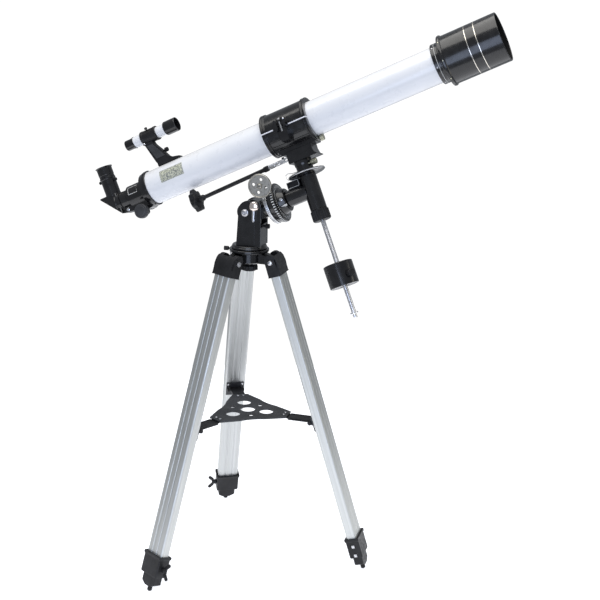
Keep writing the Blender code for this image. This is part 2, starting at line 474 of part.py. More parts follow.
# ---------------------------------------------------------------- tube assembly
OPT = (0, 0, TUBE_Q)
REAR, FRONT = -0.3660, 0.3540
node("main_tube", pipe(new(), TUBE_R, TUBE_R - TUBE_WALL, REAR, FRONT, "x", OPT, 64), WHITE, dec_axis)
node("objective_cell", lathe(new(), [
    (TUBE_R + GAP, 0.3460), (0.0425, 0.3460), (0.0433, 0.3470), (0.0433, 0.3600), (0.0440, 0.3610), (0.0440, 0.3715),
    (0.0432, 0.3725), (0.0350, 0.3725), (0.0350, FRONT + GAP), (TUBE_R + GAP, FRONT + GAP)],
    "x", OPT, 64), BLACK, dec_axis)
node("objective_lens", lathe(new(), [
    (0, 0.3560), (0.0200, 0.3567), (0.0346, 0.3590), (0.0346, 0.3670), (0.0200, 0.3702), (0, 0.3715)],
    "x", OPT, 48), GLASS, dec_axis)
node("dew_shield", lathe(new(), [
    (0.0443, 0.3640), (0.0535, 0.3640), (0.0545, 0.3655), (0.0545, 0.3700), (0.0520, 0.3715), (0.0520, 0.4895),
    (0.0512, 0.4905), (0.0500, 0.4905), (0.0492, 0.4890), (0.0492, 0.3770), (0.0443, 0.3765)],
    "x", OPT, 64), BLACK, dec_axis)
foc = node("focuser_body", lathe(new(), [
    (0.0415, -0.3595), (0.0415, -0.3670), (0.0385, -0.3775), (0.0290, -0.3800), (0.0260, -0.3815), (0.0258, -0.4212),
    (0.0250, -0.4222), (0.0205, -0.4225), (0.0205, -0.4438), (0.0198, -0.4445), (0.0170, -0.4445), (0.0170, -0.3700),
    (0.0365, -0.3690), (0.0365, REAR - GAP),
    (TUBE_R + GAP, REAR - GAP), (TUBE_R + GAP, -0.3595)], "x", OPT, 48), BLACK, dec_axis)
RACK = (-0.3915, TUBE_Q - 0.0470)
combine(foc, prism(new(), [(-0.4438, TUBE_Q - 0.0190), (-0.4438, TUBE_Q - 0.0302), (-0.4265, TUBE_Q - 0.0330),
                           (-0.3860, TUBE_Q - 0.0433), (-0.3740, TUBE_Q - 0.0424), (-0.3700, TUBE_Q - 0.0395),
                           (-0.3700, TUBE_Q - 0.0300), (-0.3800, TUBE_Q - 0.0190)], -0.0120, 0.0120), "UNION")
combine(foc, rod(new(), 0.0068, -0.0160, -0.0060, "y", (RACK[0], 0, RACK[1]), 32), "UNION")
combine(foc, rod(new(), 0.0031, -0.03, -0.0090, "y", (RACK[0], 0, RACK[1]), 16), "DIFFERENCE")
knobs = node("focus_knobs", lathe(new(), [
    (0, -0.0410), (0.0130, -0.0410), (0.0160, -0.0400), (0.0168, -0.0385), (0.0168, -0.0290), (0.0155, -0.0275),
    (0.0070, -0.0270), (0.0060, -0.0165), (0.0028, -0.0160), (0.0028, -0.0095), (0, -0.0095)],
    "y", (RACK[0], 0, RACK[1]), 40), PLASTIC, dec_axis)
draw_axis = frame("drawtube_axis", dec_axis, OPT)
node("drawtube", lathe(new(), [
    (0.0150, -0.4455), (0.0165, -0.4455), (0.0165, -0.2700), (0.0150, -0.2700)], "x", (0, 0, 0), 40), CHROME, draw_axis)
diag_axis = frame("diagonal_axis", draw_axis, (0, 0, 0), Matrix.Rotation(radians(5.2), 4, "X"))
BARREL = -0.4639
dg = node("diagonal", prism(new(), [
    (-0.4940, 0.0200), (-0.4925, 0.0222), (-0.4510, 0.0222), (-0.4497, 0.0205), (-0.4497, -0.0262),
    (-0.4508, -0.0288)], -0.0165, 0.0165), PLASTIC, diag_axis)
combine(dg, lathe(new(), [(0, -0.4600), (0.0215, -0.4600), (0.0215, -0.4455), (0.0147, -0.4455), (0.0147, -0.4250),
                          (0, -0.4250)], "x", seg=40), "UNION")
combine(dg, lathe(new(), [(0, 0.0180), (0.0181, 0.0180), (0.0181, 0.0590), (0.0187, 0.0597), (0.0187, 0.0640),
                          (0, 0.0640)], "z", (BARREL, 0, 0), 36), "UNION")
combine(dg, rod(new(), 0.0131, -0.4610, -0.40, "x", seg=28), "DIFFERENCE")
combine(dg, rod(new(), 0.0131, 0.0060, 0.08, "z", (BARREL, 0, 0), 28), "DIFFERENCE")
node("eyepiece", lathe(new(), [
    (0, 0.0300), (0.0128, 0.0300), (0.0128, 0.0643), (0.0180, 0.0643), (0.0180, 0.0868), (0.0198, 0.0878),
    (0.0201, 0.0893), (0.0165, 0.0893), (0.0150, 0.0878), (0.0080, 0.0862), (0, 0.0858)],
    "z", (BARREL, 0, 0), 36), PLASTIC, diag_axis)

# ---------------------------------------------------------------- finder
FAX = (0, 0, FINDER_Q)
fb = node("finder_bracket", lathe(new(), [
    (0.0135, -0.3490), (0.0155, -0.3490), (0.0165, -0.3480), (0.0165, -0.3085), (0.0155, -0.3075), (0.0135, -0.3075)],
    "x", FAX, 40), PLASTIC, dec_axis)
stem = prism(new(), [(-0.3470, FINDER_Q - 0.0142), (-0.3250, FINDER_Q - 0.0142), (-0.3225, TUBE_Q + 0.0924),
                     (-0.3112, TUBE_Q + 0.0756), (-0.2985, TUBE_Q + 0.0540), (-0.2880, TUBE_Q + 0.0475),
                     (-0.2710, TUBE_Q + 0.0437), (-0.2710, TUBE_Q + 0.0415), (-0.3020, TUBE_Q + 0.0389),
                     (-0.3290, TUBE_Q + 0.0389), (-0.3290, TUBE_Q + 0.0470), (-0.3310, TUBE_Q + 0.0500)], -0.0085, 0.0085)
combine(fb, stem, "UNION")
combine(fb, rod(new(), 0.0023, -0.3150, -0.28, "x", (0, 0, TUBE_Q + 0.0700), 16), "DIFFERENCE")
node("finder_tube", lathe(new(), [
    (0.0070, -0.3900), (0.0100, -0.3930), (0.0118, -0.3925), (0.0122, -0.3910), (0.0122, -0.3725), (0.0138, -0.3712),
    (0.0138, -0.3695), (0.0130, -0.3690), (0.0130, -0.2865), (0.0150, -0.2855), (0.0160, -0.2845), (0.0160, -0.2560),
    (0.0152, -0.2550), (0.0142, -0.2550), (0.0142, -0.2700), (0.0115, -0.2720), (0, -0.2700), (0, -0.3860),
    (0.0070, -0.3870)], "x", FAX, 40), WHITE, dec_axis)
node("finder_screw", lathe(new(), [
    (0, -0.3145), (0.0020, -0.3145), (0.0020, -0.3042), (0.0048, -0.3040), (0.0052, -0.3030), (0.0052, -0.2970),
    (0.0044, -0.2960), (0, -0.2960)], "x", (0, 0, TUBE_Q + 0.0700), 20), PLASTIC, dec_axis)
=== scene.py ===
"""A small refractor telescope on an equatorial mount and an aluminium tripod, finished around its frame."""
import json
from math import atan2, cos, hypot, pi, radians, sin, tan

import bmesh
import bpy
from mathutils import Matrix, Vector


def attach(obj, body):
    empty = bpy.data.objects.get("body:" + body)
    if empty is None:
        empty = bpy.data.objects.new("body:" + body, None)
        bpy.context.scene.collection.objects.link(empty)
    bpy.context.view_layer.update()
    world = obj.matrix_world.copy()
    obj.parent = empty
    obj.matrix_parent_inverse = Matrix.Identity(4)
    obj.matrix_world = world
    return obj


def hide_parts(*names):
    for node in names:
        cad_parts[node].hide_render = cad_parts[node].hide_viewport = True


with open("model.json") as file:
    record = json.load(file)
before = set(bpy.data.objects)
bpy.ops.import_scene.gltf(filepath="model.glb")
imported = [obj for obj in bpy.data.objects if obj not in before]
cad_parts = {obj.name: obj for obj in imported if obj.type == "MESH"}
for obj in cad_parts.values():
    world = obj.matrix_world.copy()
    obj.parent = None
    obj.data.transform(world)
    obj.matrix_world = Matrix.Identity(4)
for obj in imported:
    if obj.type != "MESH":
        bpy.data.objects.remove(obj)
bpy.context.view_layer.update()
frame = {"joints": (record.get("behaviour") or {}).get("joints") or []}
joint = {j["name"]: j for j in frame["joints"]}


# ---------------------------------------------------------------- studio
# A round pale floor under the feet, a white room, one broad soft light overhead, a wide cool one in
# front and a faint warm one on the right.  The camera stands a little to the right of the mount.
camera_data = bpy.data.cameras.new("camera")
camera_data.lens = 66.281
camera_data.sensor_width = 36.0
camera = bpy.data.objects.new("camera", camera_data)
camera.location = (0.69129, -2.28946, 1.30173)
camera.rotation_euler = (radians(74.41249), radians(-1.21521), radians(16.17))
bpy.context.scene.collection.objects.link(camera)
bpy.context.scene.camera = camera
bpy.context.scene.view_settings.view_transform = "Standard"

room = bpy.data.worlds.new("room")
room.use_nodes = True
bpy.context.scene.world = room
air = room.node_tree
backdrop = air.nodes["Background"]
backdrop.inputs["Color"].default_value = (1, 1, 1, 1)
backdrop.inputs["Strength"].default_value = 1.05
fill = air.nodes.new("ShaderNodeBackground")
fill.inputs["Color"].default_value = (0.88, 0.93, 1.0, 1)
fill.inputs["Strength"].default_value = 0.36
path = air.nodes.new("ShaderNodeLightPath")
either = air.nodes.new("ShaderNodeMixShader")
air.links.new(path.outputs["Is Camera Ray"], either.inputs["Fac"])
air.links.new(fill.outputs["Background"], either.inputs[1])
air.links.new(backdrop.outputs["Background"], either.inputs[2])
air.links.new(either.outputs["Shader"], air.nodes["World Output"].inputs["Surface"])


def soft_light(name, place, aim, width, height, watts, colour):
    lamp = bpy.data.lights.new(name, "AREA")
    lamp.shape = "RECTANGLE"
    lamp.size, lamp.size_y = width, height
    lamp.energy = watts
    lamp.color = colour
    ob = bpy.data.objects.new(name, lamp)
    ob.location = place
    ob.rotation_euler = (Vector(aim) - Vector(place)).to_track_quat("-Z", "Y").to_euler()
    bpy.context.scene.collection.objects.link(ob)
    ob.visible_camera = False


soft_light("overhead_light", (-0.2, -0.3, 3.4), (0, 0, 0), 3.2, 3.2, 100, (1.0, 0.98, 0.94))
soft_light("cool_front_light", (0.55, -3.0, 0.85), (0, 0, 0.9), 1.8, 1.8, 34, (0.64, 0.75, 1.0))
soft_light("warm_side_light", (2.8, 0.2, 1.3), (0, 0, 0.8), 0.9, 1.6, 9, (1.0, 0.95, 0.82))

floor_finish = bpy.data.materials.new("pale_floor")
floor_finish.use_nodes = True
floor_finish.node_tree.nodes["Principled BSDF"].inputs["Base Color"].default_value = (0.55, 0.55, 0.55, 1)
floor_finish.node_tree.nodes["Principled BSDF"].inputs["Roughness"].default_value = 0.9
floor_finish.node_tree.nodes["Principled BSDF"].inputs["Emission Color"].default_value = (0.92, 0.94, 1.0, 1)
floor_finish.node_tree.nodes["Principled BSDF"].inputs["Emission Strength"].default_value = 1.0
bm = bmesh.new()
bmesh.ops.create_circle(bm, cap_ends=True, segments=96, radius=1.4,
                        matrix=Matrix.Translation((0, 0, -0.0005)))
floor_mesh = bpy.data.meshes.new("floor")
bm.to_mesh(floor_mesh)
bm.free()
floor_mesh.materials.append(floor_finish)
floor = bpy.data.objects.new("floor", floor_mesh)
bpy.context.scene.collection.objects.link(floor)


# ---------------------------------------------------------------- tripod hub
# The die-cast collar that the three legs hang from: a turned body with a flat top plate and a tongue
# for each leg, in black enamel.  The mount stands on its top face and a screw from below holds the two
# together.
HEAD = Matrix.Translation((joint["azimuth_turn"]["pos_m"][0], 0, 0.0001))
LEG_TURNS = [Matrix.Rotation(radians(angle), 4, "Z") for angle in (0, 120, 240)]
ALONG_X = Matrix(((0, 0, 1, 0), (1, 0, 0, 0), (0, 1, 0, 0), (0, 0, 0, 1)))
ALONG_Y = Matrix(((0, 1, 0, 0), (0, 0, 1, 0), (1, 0, 0, 0), (0, 0, 0, 1)))
UPRIGHT = Matrix.Rotation(radians(90), 4, "X")


def finish(name, slot, base, metallic, roughness, specular=0.5):
    """Starts a finish and returns its material, node tree, shader and object coordinates."""
    material = bpy.data.materials.new(name)
    material.use_nodes = True
    material["slot"] = slot
    tree = material.node_tree
    shader = tree.nodes["Principled BSDF"]
    shader.inputs["Base Color"].default_value = (*base, 1)
    shader.inputs["Metallic"].default_value = metallic
    shader.inputs["Roughness"].default_value = roughness
    shader.inputs["Specular IOR Level"].default_value = specular
    return material, tree, shader, tree.nodes.new("ShaderNodeTexCoord").outputs["Object"]


def grain(tree, coords, scale, detail=3.0, stretch=(1, 1, 1), turn=(0, 0, 0)):
    """A noise pattern, stretched and turned where the real grain has a direction."""
    lay = tree.nodes.new("ShaderNodeMapping")
    lay.vector_type = "TEXTURE"
    lay.inputs["Scale"].default_value = stretch
    lay.inputs["Rotation"].default_value = turn
    noise = tree.nodes.new("ShaderNodeTexNoise")
    noise.inputs["Scale"].default_value = scale
    noise.inputs["Detail"].default_value = detail
    tree.links.new(coords, lay.inputs["Vector"])
    tree.links.new(lay.outputs["Vector"], noise.inputs["Vector"])
    return noise.outputs["Fac"]


def shades(tree, pattern, socket, low, high, start=0.35, end=0.65):
    """Spreads a pattern over a socket between two colours or two values."""
    if isinstance(low, tuple):
        ramp = tree.nodes.new("ShaderNodeValToRGB")
        ramp.color_ramp.elements[0].position, ramp.color_ramp.elements[1].position = start, end
        ramp.color_ramp.elements[0].color = (*low, 1)
        ramp.color_ramp.elements[1].color = (*high, 1)
        tree.links.new(pattern, ramp.inputs["Fac"])
        tree.links.new(ramp.outputs["Color"], socket)
        return
    spread = tree.nodes.new("ShaderNodeMapRange")
    for key, value in (("From Min", start), ("From Max", end), ("To Min", low), ("To Max", high)):
        spread.inputs[key].default_value = value
    tree.links.new(pattern, spread.inputs["Value"])
    tree.links.new(spread.outputs["Result"], socket)


def relief(tree, pattern, shader, strength, depth):
    bump = tree.nodes.new("ShaderNodeBump")
    bump.inputs["Strength"].default_value = strength
    bump.inputs["Distance"].default_value = depth
    tree.links.new(pattern, bump.inputs["Height"])
    tree.links.new(bump.outputs["Normal"], shader.inputs["Normal"])


def black_enamel_finish():
    material, tree, shader, coords = finish("black_enamel", "black_enamel", (0.007, 0.007, 0.008), 0.0, 0.28,
                                            0.30)
    shader.inputs["Coat Weight"].default_value = 0.5
    shader.inputs["Coat Roughness"].default_value = 0.12
    shades(tree, grain(tree, coords, 38), shader.inputs["Base Color"], (0.004, 0.004, 0.005),
           (0.010, 0.010, 0.011))
    shades(tree, grain(tree, coords, 90), shader.inputs["Roughness"], 0.18, 0.30)
    relief(tree, grain(tree, coords, 700, 2), shader, 0.06, 0.0001)
    return material


black_enamel = black_enamel_finish()


def wire(bm, points, closed=True):
    """Lays an outline of (radius, height) pairs in the local x-z plane."""
    line = [bm.verts.new((a, 0, b)) for a, b in points]
    pairs = list(zip(line, line[1:] + line[:1])) if closed else list(zip(line, line[1:]))
    return line + [bm.edges.new(pair) for pair in pairs]


def turned(outline, steps=96, place=None, bm=None, closed=True):
    """Spins an outline once round the local z axis."""
    part = bmesh.new()
    geometry = wire(part, outline, closed)
    bmesh.ops.spin(part, geom=geometry, cent=(0, 0, 0), axis=(0, 0, 1), dvec=(0, 0, 0), angle=2 * pi,
                   steps=steps, use_merge=True, use_normal_flip=False, use_duplicate=False)
    return gathered(part, place, bm)


def swept(section, start, stop, steps):
    """Spins a closed section through part of a turn and closes both ends."""
    part = bmesh.new()
    profile = wire(part, section)
    bmesh.ops.rotate(part, cent=(0, 0, 0), matrix=Matrix.Rotation(radians(start), 3, "Z"),
                     verts=profile[:len(section)])
    bmesh.ops.spin(part, geom=profile, cent=(0, 0, 0), axis=(0, 0, 1), dvec=(0, 0, 0),
                   angle=radians(stop - start), steps=steps, use_merge=False, use_normal_flip=False,
                   use_duplicate=False)
    bmesh.ops.holes_fill(part, edges=[e for e in part.edges if e.is_boundary], sides=0)
    bmesh.ops.recalc_face_normals(part, faces=part.faces)
    return part


def gathered(part, place, bm):
    """Cleans a shape, puts it in its place and adds it to the shapes made before it."""
    bmesh.ops.remove_doubles(part, verts=part.verts, dist=1e-6)
    bmesh.ops.delete(part, geom=[e for e in part.edges if not e.link_faces], context="EDGES")
    loose = [v for v in part.verts if not v.link_faces]
    bmesh.ops.delete(part, geom=loose, context="VERTS")
    if place is not None:
        part.transform(place)
    bmesh.ops.recalc_face_normals(part, faces=part.faces)
    if bm is None:
        return part
    spare = bpy.data.meshes.new("spare")
    part.to_mesh(spare)
    part.free()
    bm.from_mesh(spare)
    bpy.data.meshes.remove(spare)
    return bm


def raised(part, faces, height):
    """Extrudes flat faces upwards."""
    grown = bmesh.ops.extrude_face_region(part, geom=faces)["geom"]
    bmesh.ops.translate(part, vec=(0, 0, height),
                        verts=[v for v in grown if isinstance(v, bmesh.types.BMVert)])


def slab(outline, low, high, place=None, bm=None):
    """Extrudes an outline of (x, y) pairs from one height to another."""
    part = bmesh.new()
    raised(part, [part.faces.new([part.verts.new((a, b, low)) for a, b in outline])], high - low)
    return gathered(part, place, bm)


def bar(left, right, front, back, low, high, place=None, bm=None):
    """A rectangular block between two values of x, of y and of z."""
    outline = [(left, front), (right, front), (right, back), (left, back)]
    return slab(outline, low, high, place, bm)


def ring_at(part, outline, height):
    """Lays a closed ring of edges along an outline at one height."""
    ring = [part.verts.new((a, b, height)) for a, b in outline]
    return [part.edges.new(pair) for pair in zip(ring, ring[1:] + ring[:1])]


def filled(part, edges, height):
    """Fills the flat area between closed rings and extrudes it upwards."""
    faces = [f for f in bmesh.ops.triangle_fill(part, use_beauty=True, edges=edges)["geom"]
             if isinstance(f, bmesh.types.BMFace)]
    raised(part, faces, height)


def pierced(outline, holes, low, high, place=None, bm=None, steps=40):
    """Extrudes an outline with round holes (x, y, radius) cut through it."""
    part = bmesh.new()
    edges = ring_at(part, outline, low)
    for x, y, radius in holes:
        rim = bmesh.ops.create_circle(part, cap_ends=False, segments=steps, radius=radius,
                                      matrix=Matrix.Translation((x, y, low)))["verts"]
        edges += list({e for v in rim for e in v.link_edges})
    filled(part, edges, high - low)
    return gathered(part, place, bm)


def sleeve(levels):
    """Bridges outlines at their heights, and the last to the first, into a hollow closed shell."""
    part = bmesh.new()
    rings = [ring_at(part, outline, height) for height, outline in levels]
    for low, high in zip(rings, rings[1:] + rings[:1]):
        bmesh.ops.bridge_loops(part, edges=low + high)
    bmesh.ops.recalc_face_normals(part, faces=part.faces)
    return part


def polygon(radius, sides):
    return [(radius * cos(2 * pi * i / sides), radius * sin(2 * pi * i / sides)) for i in range(sides)]


def at_joint(name):
    return Matrix.Translation(Vector(joint[name]["pos_m"]))


def arc(x, y, radius, start, stop, count):
    return [(x + radius * cos(radians(start + (stop - start) * i / count)),
             y + radius * sin(radians(start + (stop - start) * i / count))) for i in range(count + 1)]


def rounded(half_x, half_y, radius, count=6):
    x, y = half_x - radius, half_y - radius
    return (arc(x, y, radius, 0, 90, count) + arc(-x, y, radius, 90, 180, count)
            + arc(-x, -y, radius, 180, 270, count) + arc(x, -y, radius, 270, 360, count))


def ribbed(radius, depth, ribs, fineness=6, power=1.0):
    """A round outline with shallow grooves cut along it."""
    count = ribs * fineness
    return [((radius - depth * (0.5 - 0.5 * cos(2 * pi * i / fineness)) ** power) * cos(2 * pi * i / count),
             (radius - depth * (0.5 - 0.5 * cos(2 * pi * i / fineness)) ** power) * sin(2 * pi * i / count))
            for i in range(count)]


def piece(name, bm, place, material, body, *nodes, ease=0.0004, sharp=32, segments=2):
    """Breaks the sharp edges, places the mesh in the frame and lets it ride on its body."""
    if ease:
        edges = [e for e in bm.edges if len(e.link_faces) == 2 and e.calc_face_angle() > radians(sharp)]
        bmesh.ops.bevel(bm, geom=edges, offset=ease, offset_type="OFFSET", affect="EDGES", segments=segments,
                        profile=0.5, material=-1, clamp_overlap=True)
    bm.transform(place)
    mesh = bpy.data.meshes.new(name)
    bm.to_mesh(mesh)
    bm.free()
    mesh.materials.append(material)
    mesh.shade_smooth()
    mesh.set_sharp_from_angle(angle=radians(40))
    ob = bpy.data.objects.new(name, mesh)
    bpy.context.scene.collection.objects.link(ob)
    even = ob.modifiers.new("even_shading", "WEIGHTED_NORMAL")
    even.keep_sharp = True
    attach(ob, body)
    if nodes:
        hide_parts(*nodes)
    return ob


bm = turned([(0.0063, 0.7155), (0.027, 0.7155), (0.031, 0.7185), (0.031, 0.7395), (0.0425, 0.7405),
             (0.0445, 0.7420), (0.0445, 0.7470), (0.0435, 0.7480), (0.0063, 0.7480)])
LEAN = -atan2(Vector(joint["leg_1_extend"]["axis"]).x, joint["leg_1_extend"]["axis"][2]) + pi
FOOT_RADIUS = 0.2902
pin_x = FOOT_RADIUS - 0.002 * cos(LEAN) - 0.760 * sin(LEAN)
pin_z = -0.002 * sin(LEAN) + 0.760 * cos(LEAN)
for turn in LEG_TURNS:
    slab([(0.022, 0.7163), (pin_x, pin_z - 0.0078)] + arc(pin_x, pin_z, 0.0078, -60, 90, 10)
         + [(0.030, 0.7390), (0.022, 0.7390)], -0.016, 0.016, turn @ UPRIGHT, bm)
piece("hub_casting", bm, HEAD, black_enamel, "tripod", "tripod_hub")


# ---------------------------------------------------------------- centre bolt
# The hand knob under the hub, moulded on a steel screw, that pulls the mount down on the tripod.
def black_plastic_finish():
    material, tree, shader, coords = finish("moulded_black", "black_plastic", (0.010, 0.010, 0.011), 0.0,
                                            0.45, 0.3)
    shades(tree, grain(tree, coords, 30), shader.inputs["Base Color"], (0.006, 0.006, 0.007),
           (0.014, 0.014, 0.016))
    shades(tree, grain(tree, coords, 140), shader.inputs["Roughness"], 0.36, 0.52)
    relief(tree, grain(tree, coords, 1500, 2), shader, 0.25, 0.00025)
    return material


moulded_black = black_plastic_finish()
bm = slab(ribbed(0.0202, 0.0030, 8, 10), 0.6985, 0.7085)
turned([(0, 0.6965), (0.0150, 0.6965), (0.0172, 0.6990), (0, 0.6990)], 64, bm=bm)
turned([(0, 0.7080), (0.0165, 0.7080), (0.0125, 0.7112), (0.0125, 0.7150), (0.0060, 0.7150),
        (0.0060, 0.7545), (0, 0.7545)], 64, bm=bm)
piece("hub_hand_knob", bm, HEAD, moulded_black, "centre_bolt", "centre_bolt", ease=0.0008)


# ---------------------------------------------------------------- azimuth lock
# A small ribbed thumb screw in the edge of the hub's top plate that stops the mount from turning.
AZIMUTH_LOCK = HEAD @ Matrix.Translation((0, 0, 0.7443)) @ Matrix.Rotation(radians(188), 4, "Z") @ ALONG_X
bm = slab(ribbed(0.0050, 0.0007, 14), 0.0472, 0.0575)
turned([(0, 0.0390), (0.0022, 0.0390), (0.0022, 0.0465), (0.0038, 0.0472), (0, 0.0472)], 32, bm=bm)
piece("azimuth_thumb_screw", bm, AZIMUTH_LOCK, moulded_black, "azimuth_lock_knob", "azimuth_lock_knob",
      ease=0.0002)


# ---------------------------------------------------------------- leg brackets
# Moulded shoes that close the top of each leg and straddle the hub's tongue with two ears.  A raised
# rib runs round the ears and the skirt, and the leg slides up into the skirt.
LEGS = []
for number in (1, 2, 3):
    up = -Vector(joint["leg_%d_extend" % number]["axis"])
    across = Vector(joint["leg_%d_wing_screw_turn" % number]["axis"])
    foot = Vector(joint["leg_%d_wing_screw_turn" % number]["pos_m"]) - 0.060 * up
    LEGS.append(Matrix.Translation(foot) @ Matrix((across.cross(up), across, up)).transposed().to_4x4())
EAR = [(-0.0148, 0.7265), (0.0148, 0.7265), (0.0150, 0.7520), (0.0118, 0.7640), (0.0068, 0.7725),
       (0.0015, 0.7770), (-0.0040, 0.7780), (-0.0110, 0.7765), (-0.0148, 0.7670)]
for number, leg in enumerate(LEGS, 1):
    bm = bmesh.new()
    for side in (-1, 1):
        low, high = sorted((side * 0.0164, side * 0.0290))
        slab([(x, z) for x, z in EAR if z > 0.75] + [(-0.0148, 0.7420), (0.0148, 0.7420)], -high, -low,
             UPRIGHT, bm)
        boss = Matrix.Translation((-0.002, side * 0.0290, 0.760)) @ ALONG_Y
        turned([(0.0060, -0.0008), (0.0088, -0.0008), (0.0088, 0.0008), (0.0060, 0.0008)], 40, boss, bm)
    slab([(0.0082, 0.7420), (0.0150, 0.7420), (0.0155, 0.7520), (0.0135, 0.7640), (0.0095, 0.7715),
          (0.0082, 0.7725)], -0.0290, 0.0290, UPRIGHT, bm)
    part = bmesh.new()
    bmesh.ops.create_cube(part, size=1.0, matrix=Matrix.Translation((0, 0, 0.7345))
                          @ Matrix.Diagonal((0.0298, 0.0580, 0.0160, 1)))
    mouth = [f for f in part.faces if f.normal.z < -0.9]
    bmesh.ops.inset_region(part, faces=mouth, thickness=0.0028)
    bmesh.ops.translate(part, vec=(0, 0, 0.0090), verts=list({v for f in mouth for v in f.verts}))
    gathered(part, None, bm)
    bar(-0.0154, 0.0154, -0.0296, 0.0296, 0.7268, 0.7290, None, bm)
    piece("leg_shoe_%d" % number, bm, leg, moulded_black, "tripod", "leg_bracket_%d" % number, ease=0.0009)


# ---------------------------------------------------------------- leg pivots
# Plated carriage bolts through the ears and the tongue, with a domed head on one side and a nut on the
# other.
def bright_plate_finish(name, base, roughness):
    material, tree, shader, coords = finish(name, "chrome", base, 1.0, roughness)
    shades(tree, grain(tree, coords, 420, 4), shader.inputs["Roughness"], roughness * 0.7, roughness * 1.5)
    relief(tree, grain(tree, coords, 160, 2), shader, 0.05, 0.0002)
    return material


chrome = bright_plate_finish("chrome_plate", (0.82, 0.82, 0.84), 0.13)
zinc = bright_plate_finish("zinc_plate", (0.56, 0.56, 0.58), 0.28)
for number, leg in enumerate(LEGS, 1):
    bm = turned([(0, -0.0330), (0.0022, -0.0330), (0.0046, -0.0322), (0.0058, -0.0304), (0.0060, -0.0293),
                 (0.0030, -0.0293), (0.0030, 0.0293), (0, 0.0293)], 48)
    slab(polygon(0.0062, 6), 0.0293, 0.0326, bm=bm)
    turned([(0, 0.0326), (0.0030, 0.0326), (0.0028, 0.0331), (0, 0.0331)], 32, bm=bm)
    piece("leg_bolt_%d" % number, bm, leg @ Matrix.Translation((-0.002, 0, 0.760)) @ ALONG_Y, zinc, "tripod",
          "leg_pivot_%d" % number, ease=0.0003)


# ---------------------------------------------------------------- outer legs
# Natural anodised aluminium extrusions with two shallow grooves down each wide face.  The die leaves fine
# streaks that run the length of the section.
def anodised_finish(number, base, edge):
    material, tree, shader, coords = finish("anodised_leg_%d" % number, "anodised_aluminium", base, 1.0,
                                            0.48)
    up = -Vector(joint["leg_%d_extend" % number]["axis"])
    turn = up.to_track_quat("Z", "Y").to_euler()
    streaks = grain(tree, coords, 260, 3, (1, 1, 120), turn)
    shades(tree, streaks, shader.inputs["Base Color"], base, edge, 0.3, 0.7)
    shades(tree, grain(tree, coords, 520, 2, (1, 1, 60), turn), shader.inputs["Roughness"], 0.42, 0.56)
    relief(tree, streaks, shader, 0.10, 0.0001)
    return material


anodised = [anodised_finish(1, (0.52, 0.53, 0.51), (0.62, 0.63, 0.62)),
            anodised_finish(2, (0.50, 0.51, 0.50), (0.60, 0.61, 0.61)),
            anodised_finish(3, (0.51, 0.52, 0.51), (0.61, 0.62, 0.61))]
LEG_X, LEG_Y, WALL = 0.0120, 0.0253, 0.0017
LEG_LOW, LEG_HIGH = 0.0760, 0.7350


def leg_section(x, y, radius, groove):
    """Half of the outline runs up one wide face with its two grooves; the other half is the same, turned."""
    side = arc(x - radius, -y + radius, radius, -90, 0, 7)
    for middle in (-0.0080, 0.0080):
        side += [(x, middle - 0.0019), (x - groove * 0.8, middle - 0.0014), (x - groove, middle - 0.0008),
                 (x - groove, middle + 0.0008), (x - groove * 0.8, middle + 0.0014), (x, middle + 0.0019)]
    side += arc(x - radius, y - radius, radius, 0, 90, 7)
    return side + [(-a, -b) for a, b in side]


for number, leg in enumerate(LEGS, 1):
    outside = leg_section(LEG_X, LEG_Y, 0.0050, 0.0010)
    inside = rounded(LEG_X - WALL, LEG_Y - WALL, 0.0018, 4)
    bm = bmesh.new()
    filled(bm, ring_at(bm, outside, LEG_LOW) + ring_at(bm, inside, LEG_LOW), LEG_HIGH - LEG_LOW)
    bmesh.ops.recalc_face_normals(bm, faces=bm.faces)
    piece("outer_leg_%d" % number, bm, leg, anodised[number - 1], "tripod", "leg_outer_%d" % number, ease=0)


# ---------------------------------------------------------------- leg clamps
# Moulded collars round the leg's lower end, with a flared lip on top, two square nuts let into one side
# and a boss for the wing screw on the other.
for number, leg in enumerate(LEGS, 1):
    levels = ((0.0400, 0.0150, 0.0272), (0.0420, 0.0157, 0.0280), (0.0800, 0.0157, 0.0280),
              (0.0832, 0.0174, 0.0298), (0.0878, 0.0174, 0.0298))
    throat = ((0.0878, 0.0123, 0.0256), (0.0758, 0.0123, 0.0256), (0.0758, 0.0103, 0.0236),
              (0.0400, 0.0103, 0.0236))
    bm = sleeve([(z, rounded(x, y, 0.0032, 5)) for z, x, y in levels]
                + [(z, rounded(x, y, 0.0020, 5)) for z, x, y in throat])
    turned([(0.0030, 0.0278), (0.0080, 0.0278), (0.0072, 0.0284), (0.0030, 0.0284)], 40,
           Matrix.Translation((0, 0, 0.060)) @ ALONG_Y, bm)
    piece("leg_collar_%d" % number, bm, leg, moulded_black, "tripod", "leg_clamp_%d" % number, ease=0.0004)
    for place, z in (("upper", 0.069), ("lower", 0.042 + 0.0045)):
        nut = slab(rounded(0.0034, 0.0034, 0.0005, 2), 0.0279, 0.0292,
                   Matrix.Translation((0, 0, z)) @ Matrix.Rotation(pi, 4, "Z") @ ALONG_Y)
        turned([(0, 0.0290), (0.0016, 0.0290), (0.0014, 0.0300), (0, 0.0300)], 24,
               Matrix.Translation((0, 0, z)) @ Matrix.Rotation(pi, 4, "Z") @ ALONG_Y, nut)
        piece("collar_nut_%s_%d" % (place, number), nut, leg, zinc, "tripod", ease=0.0002)


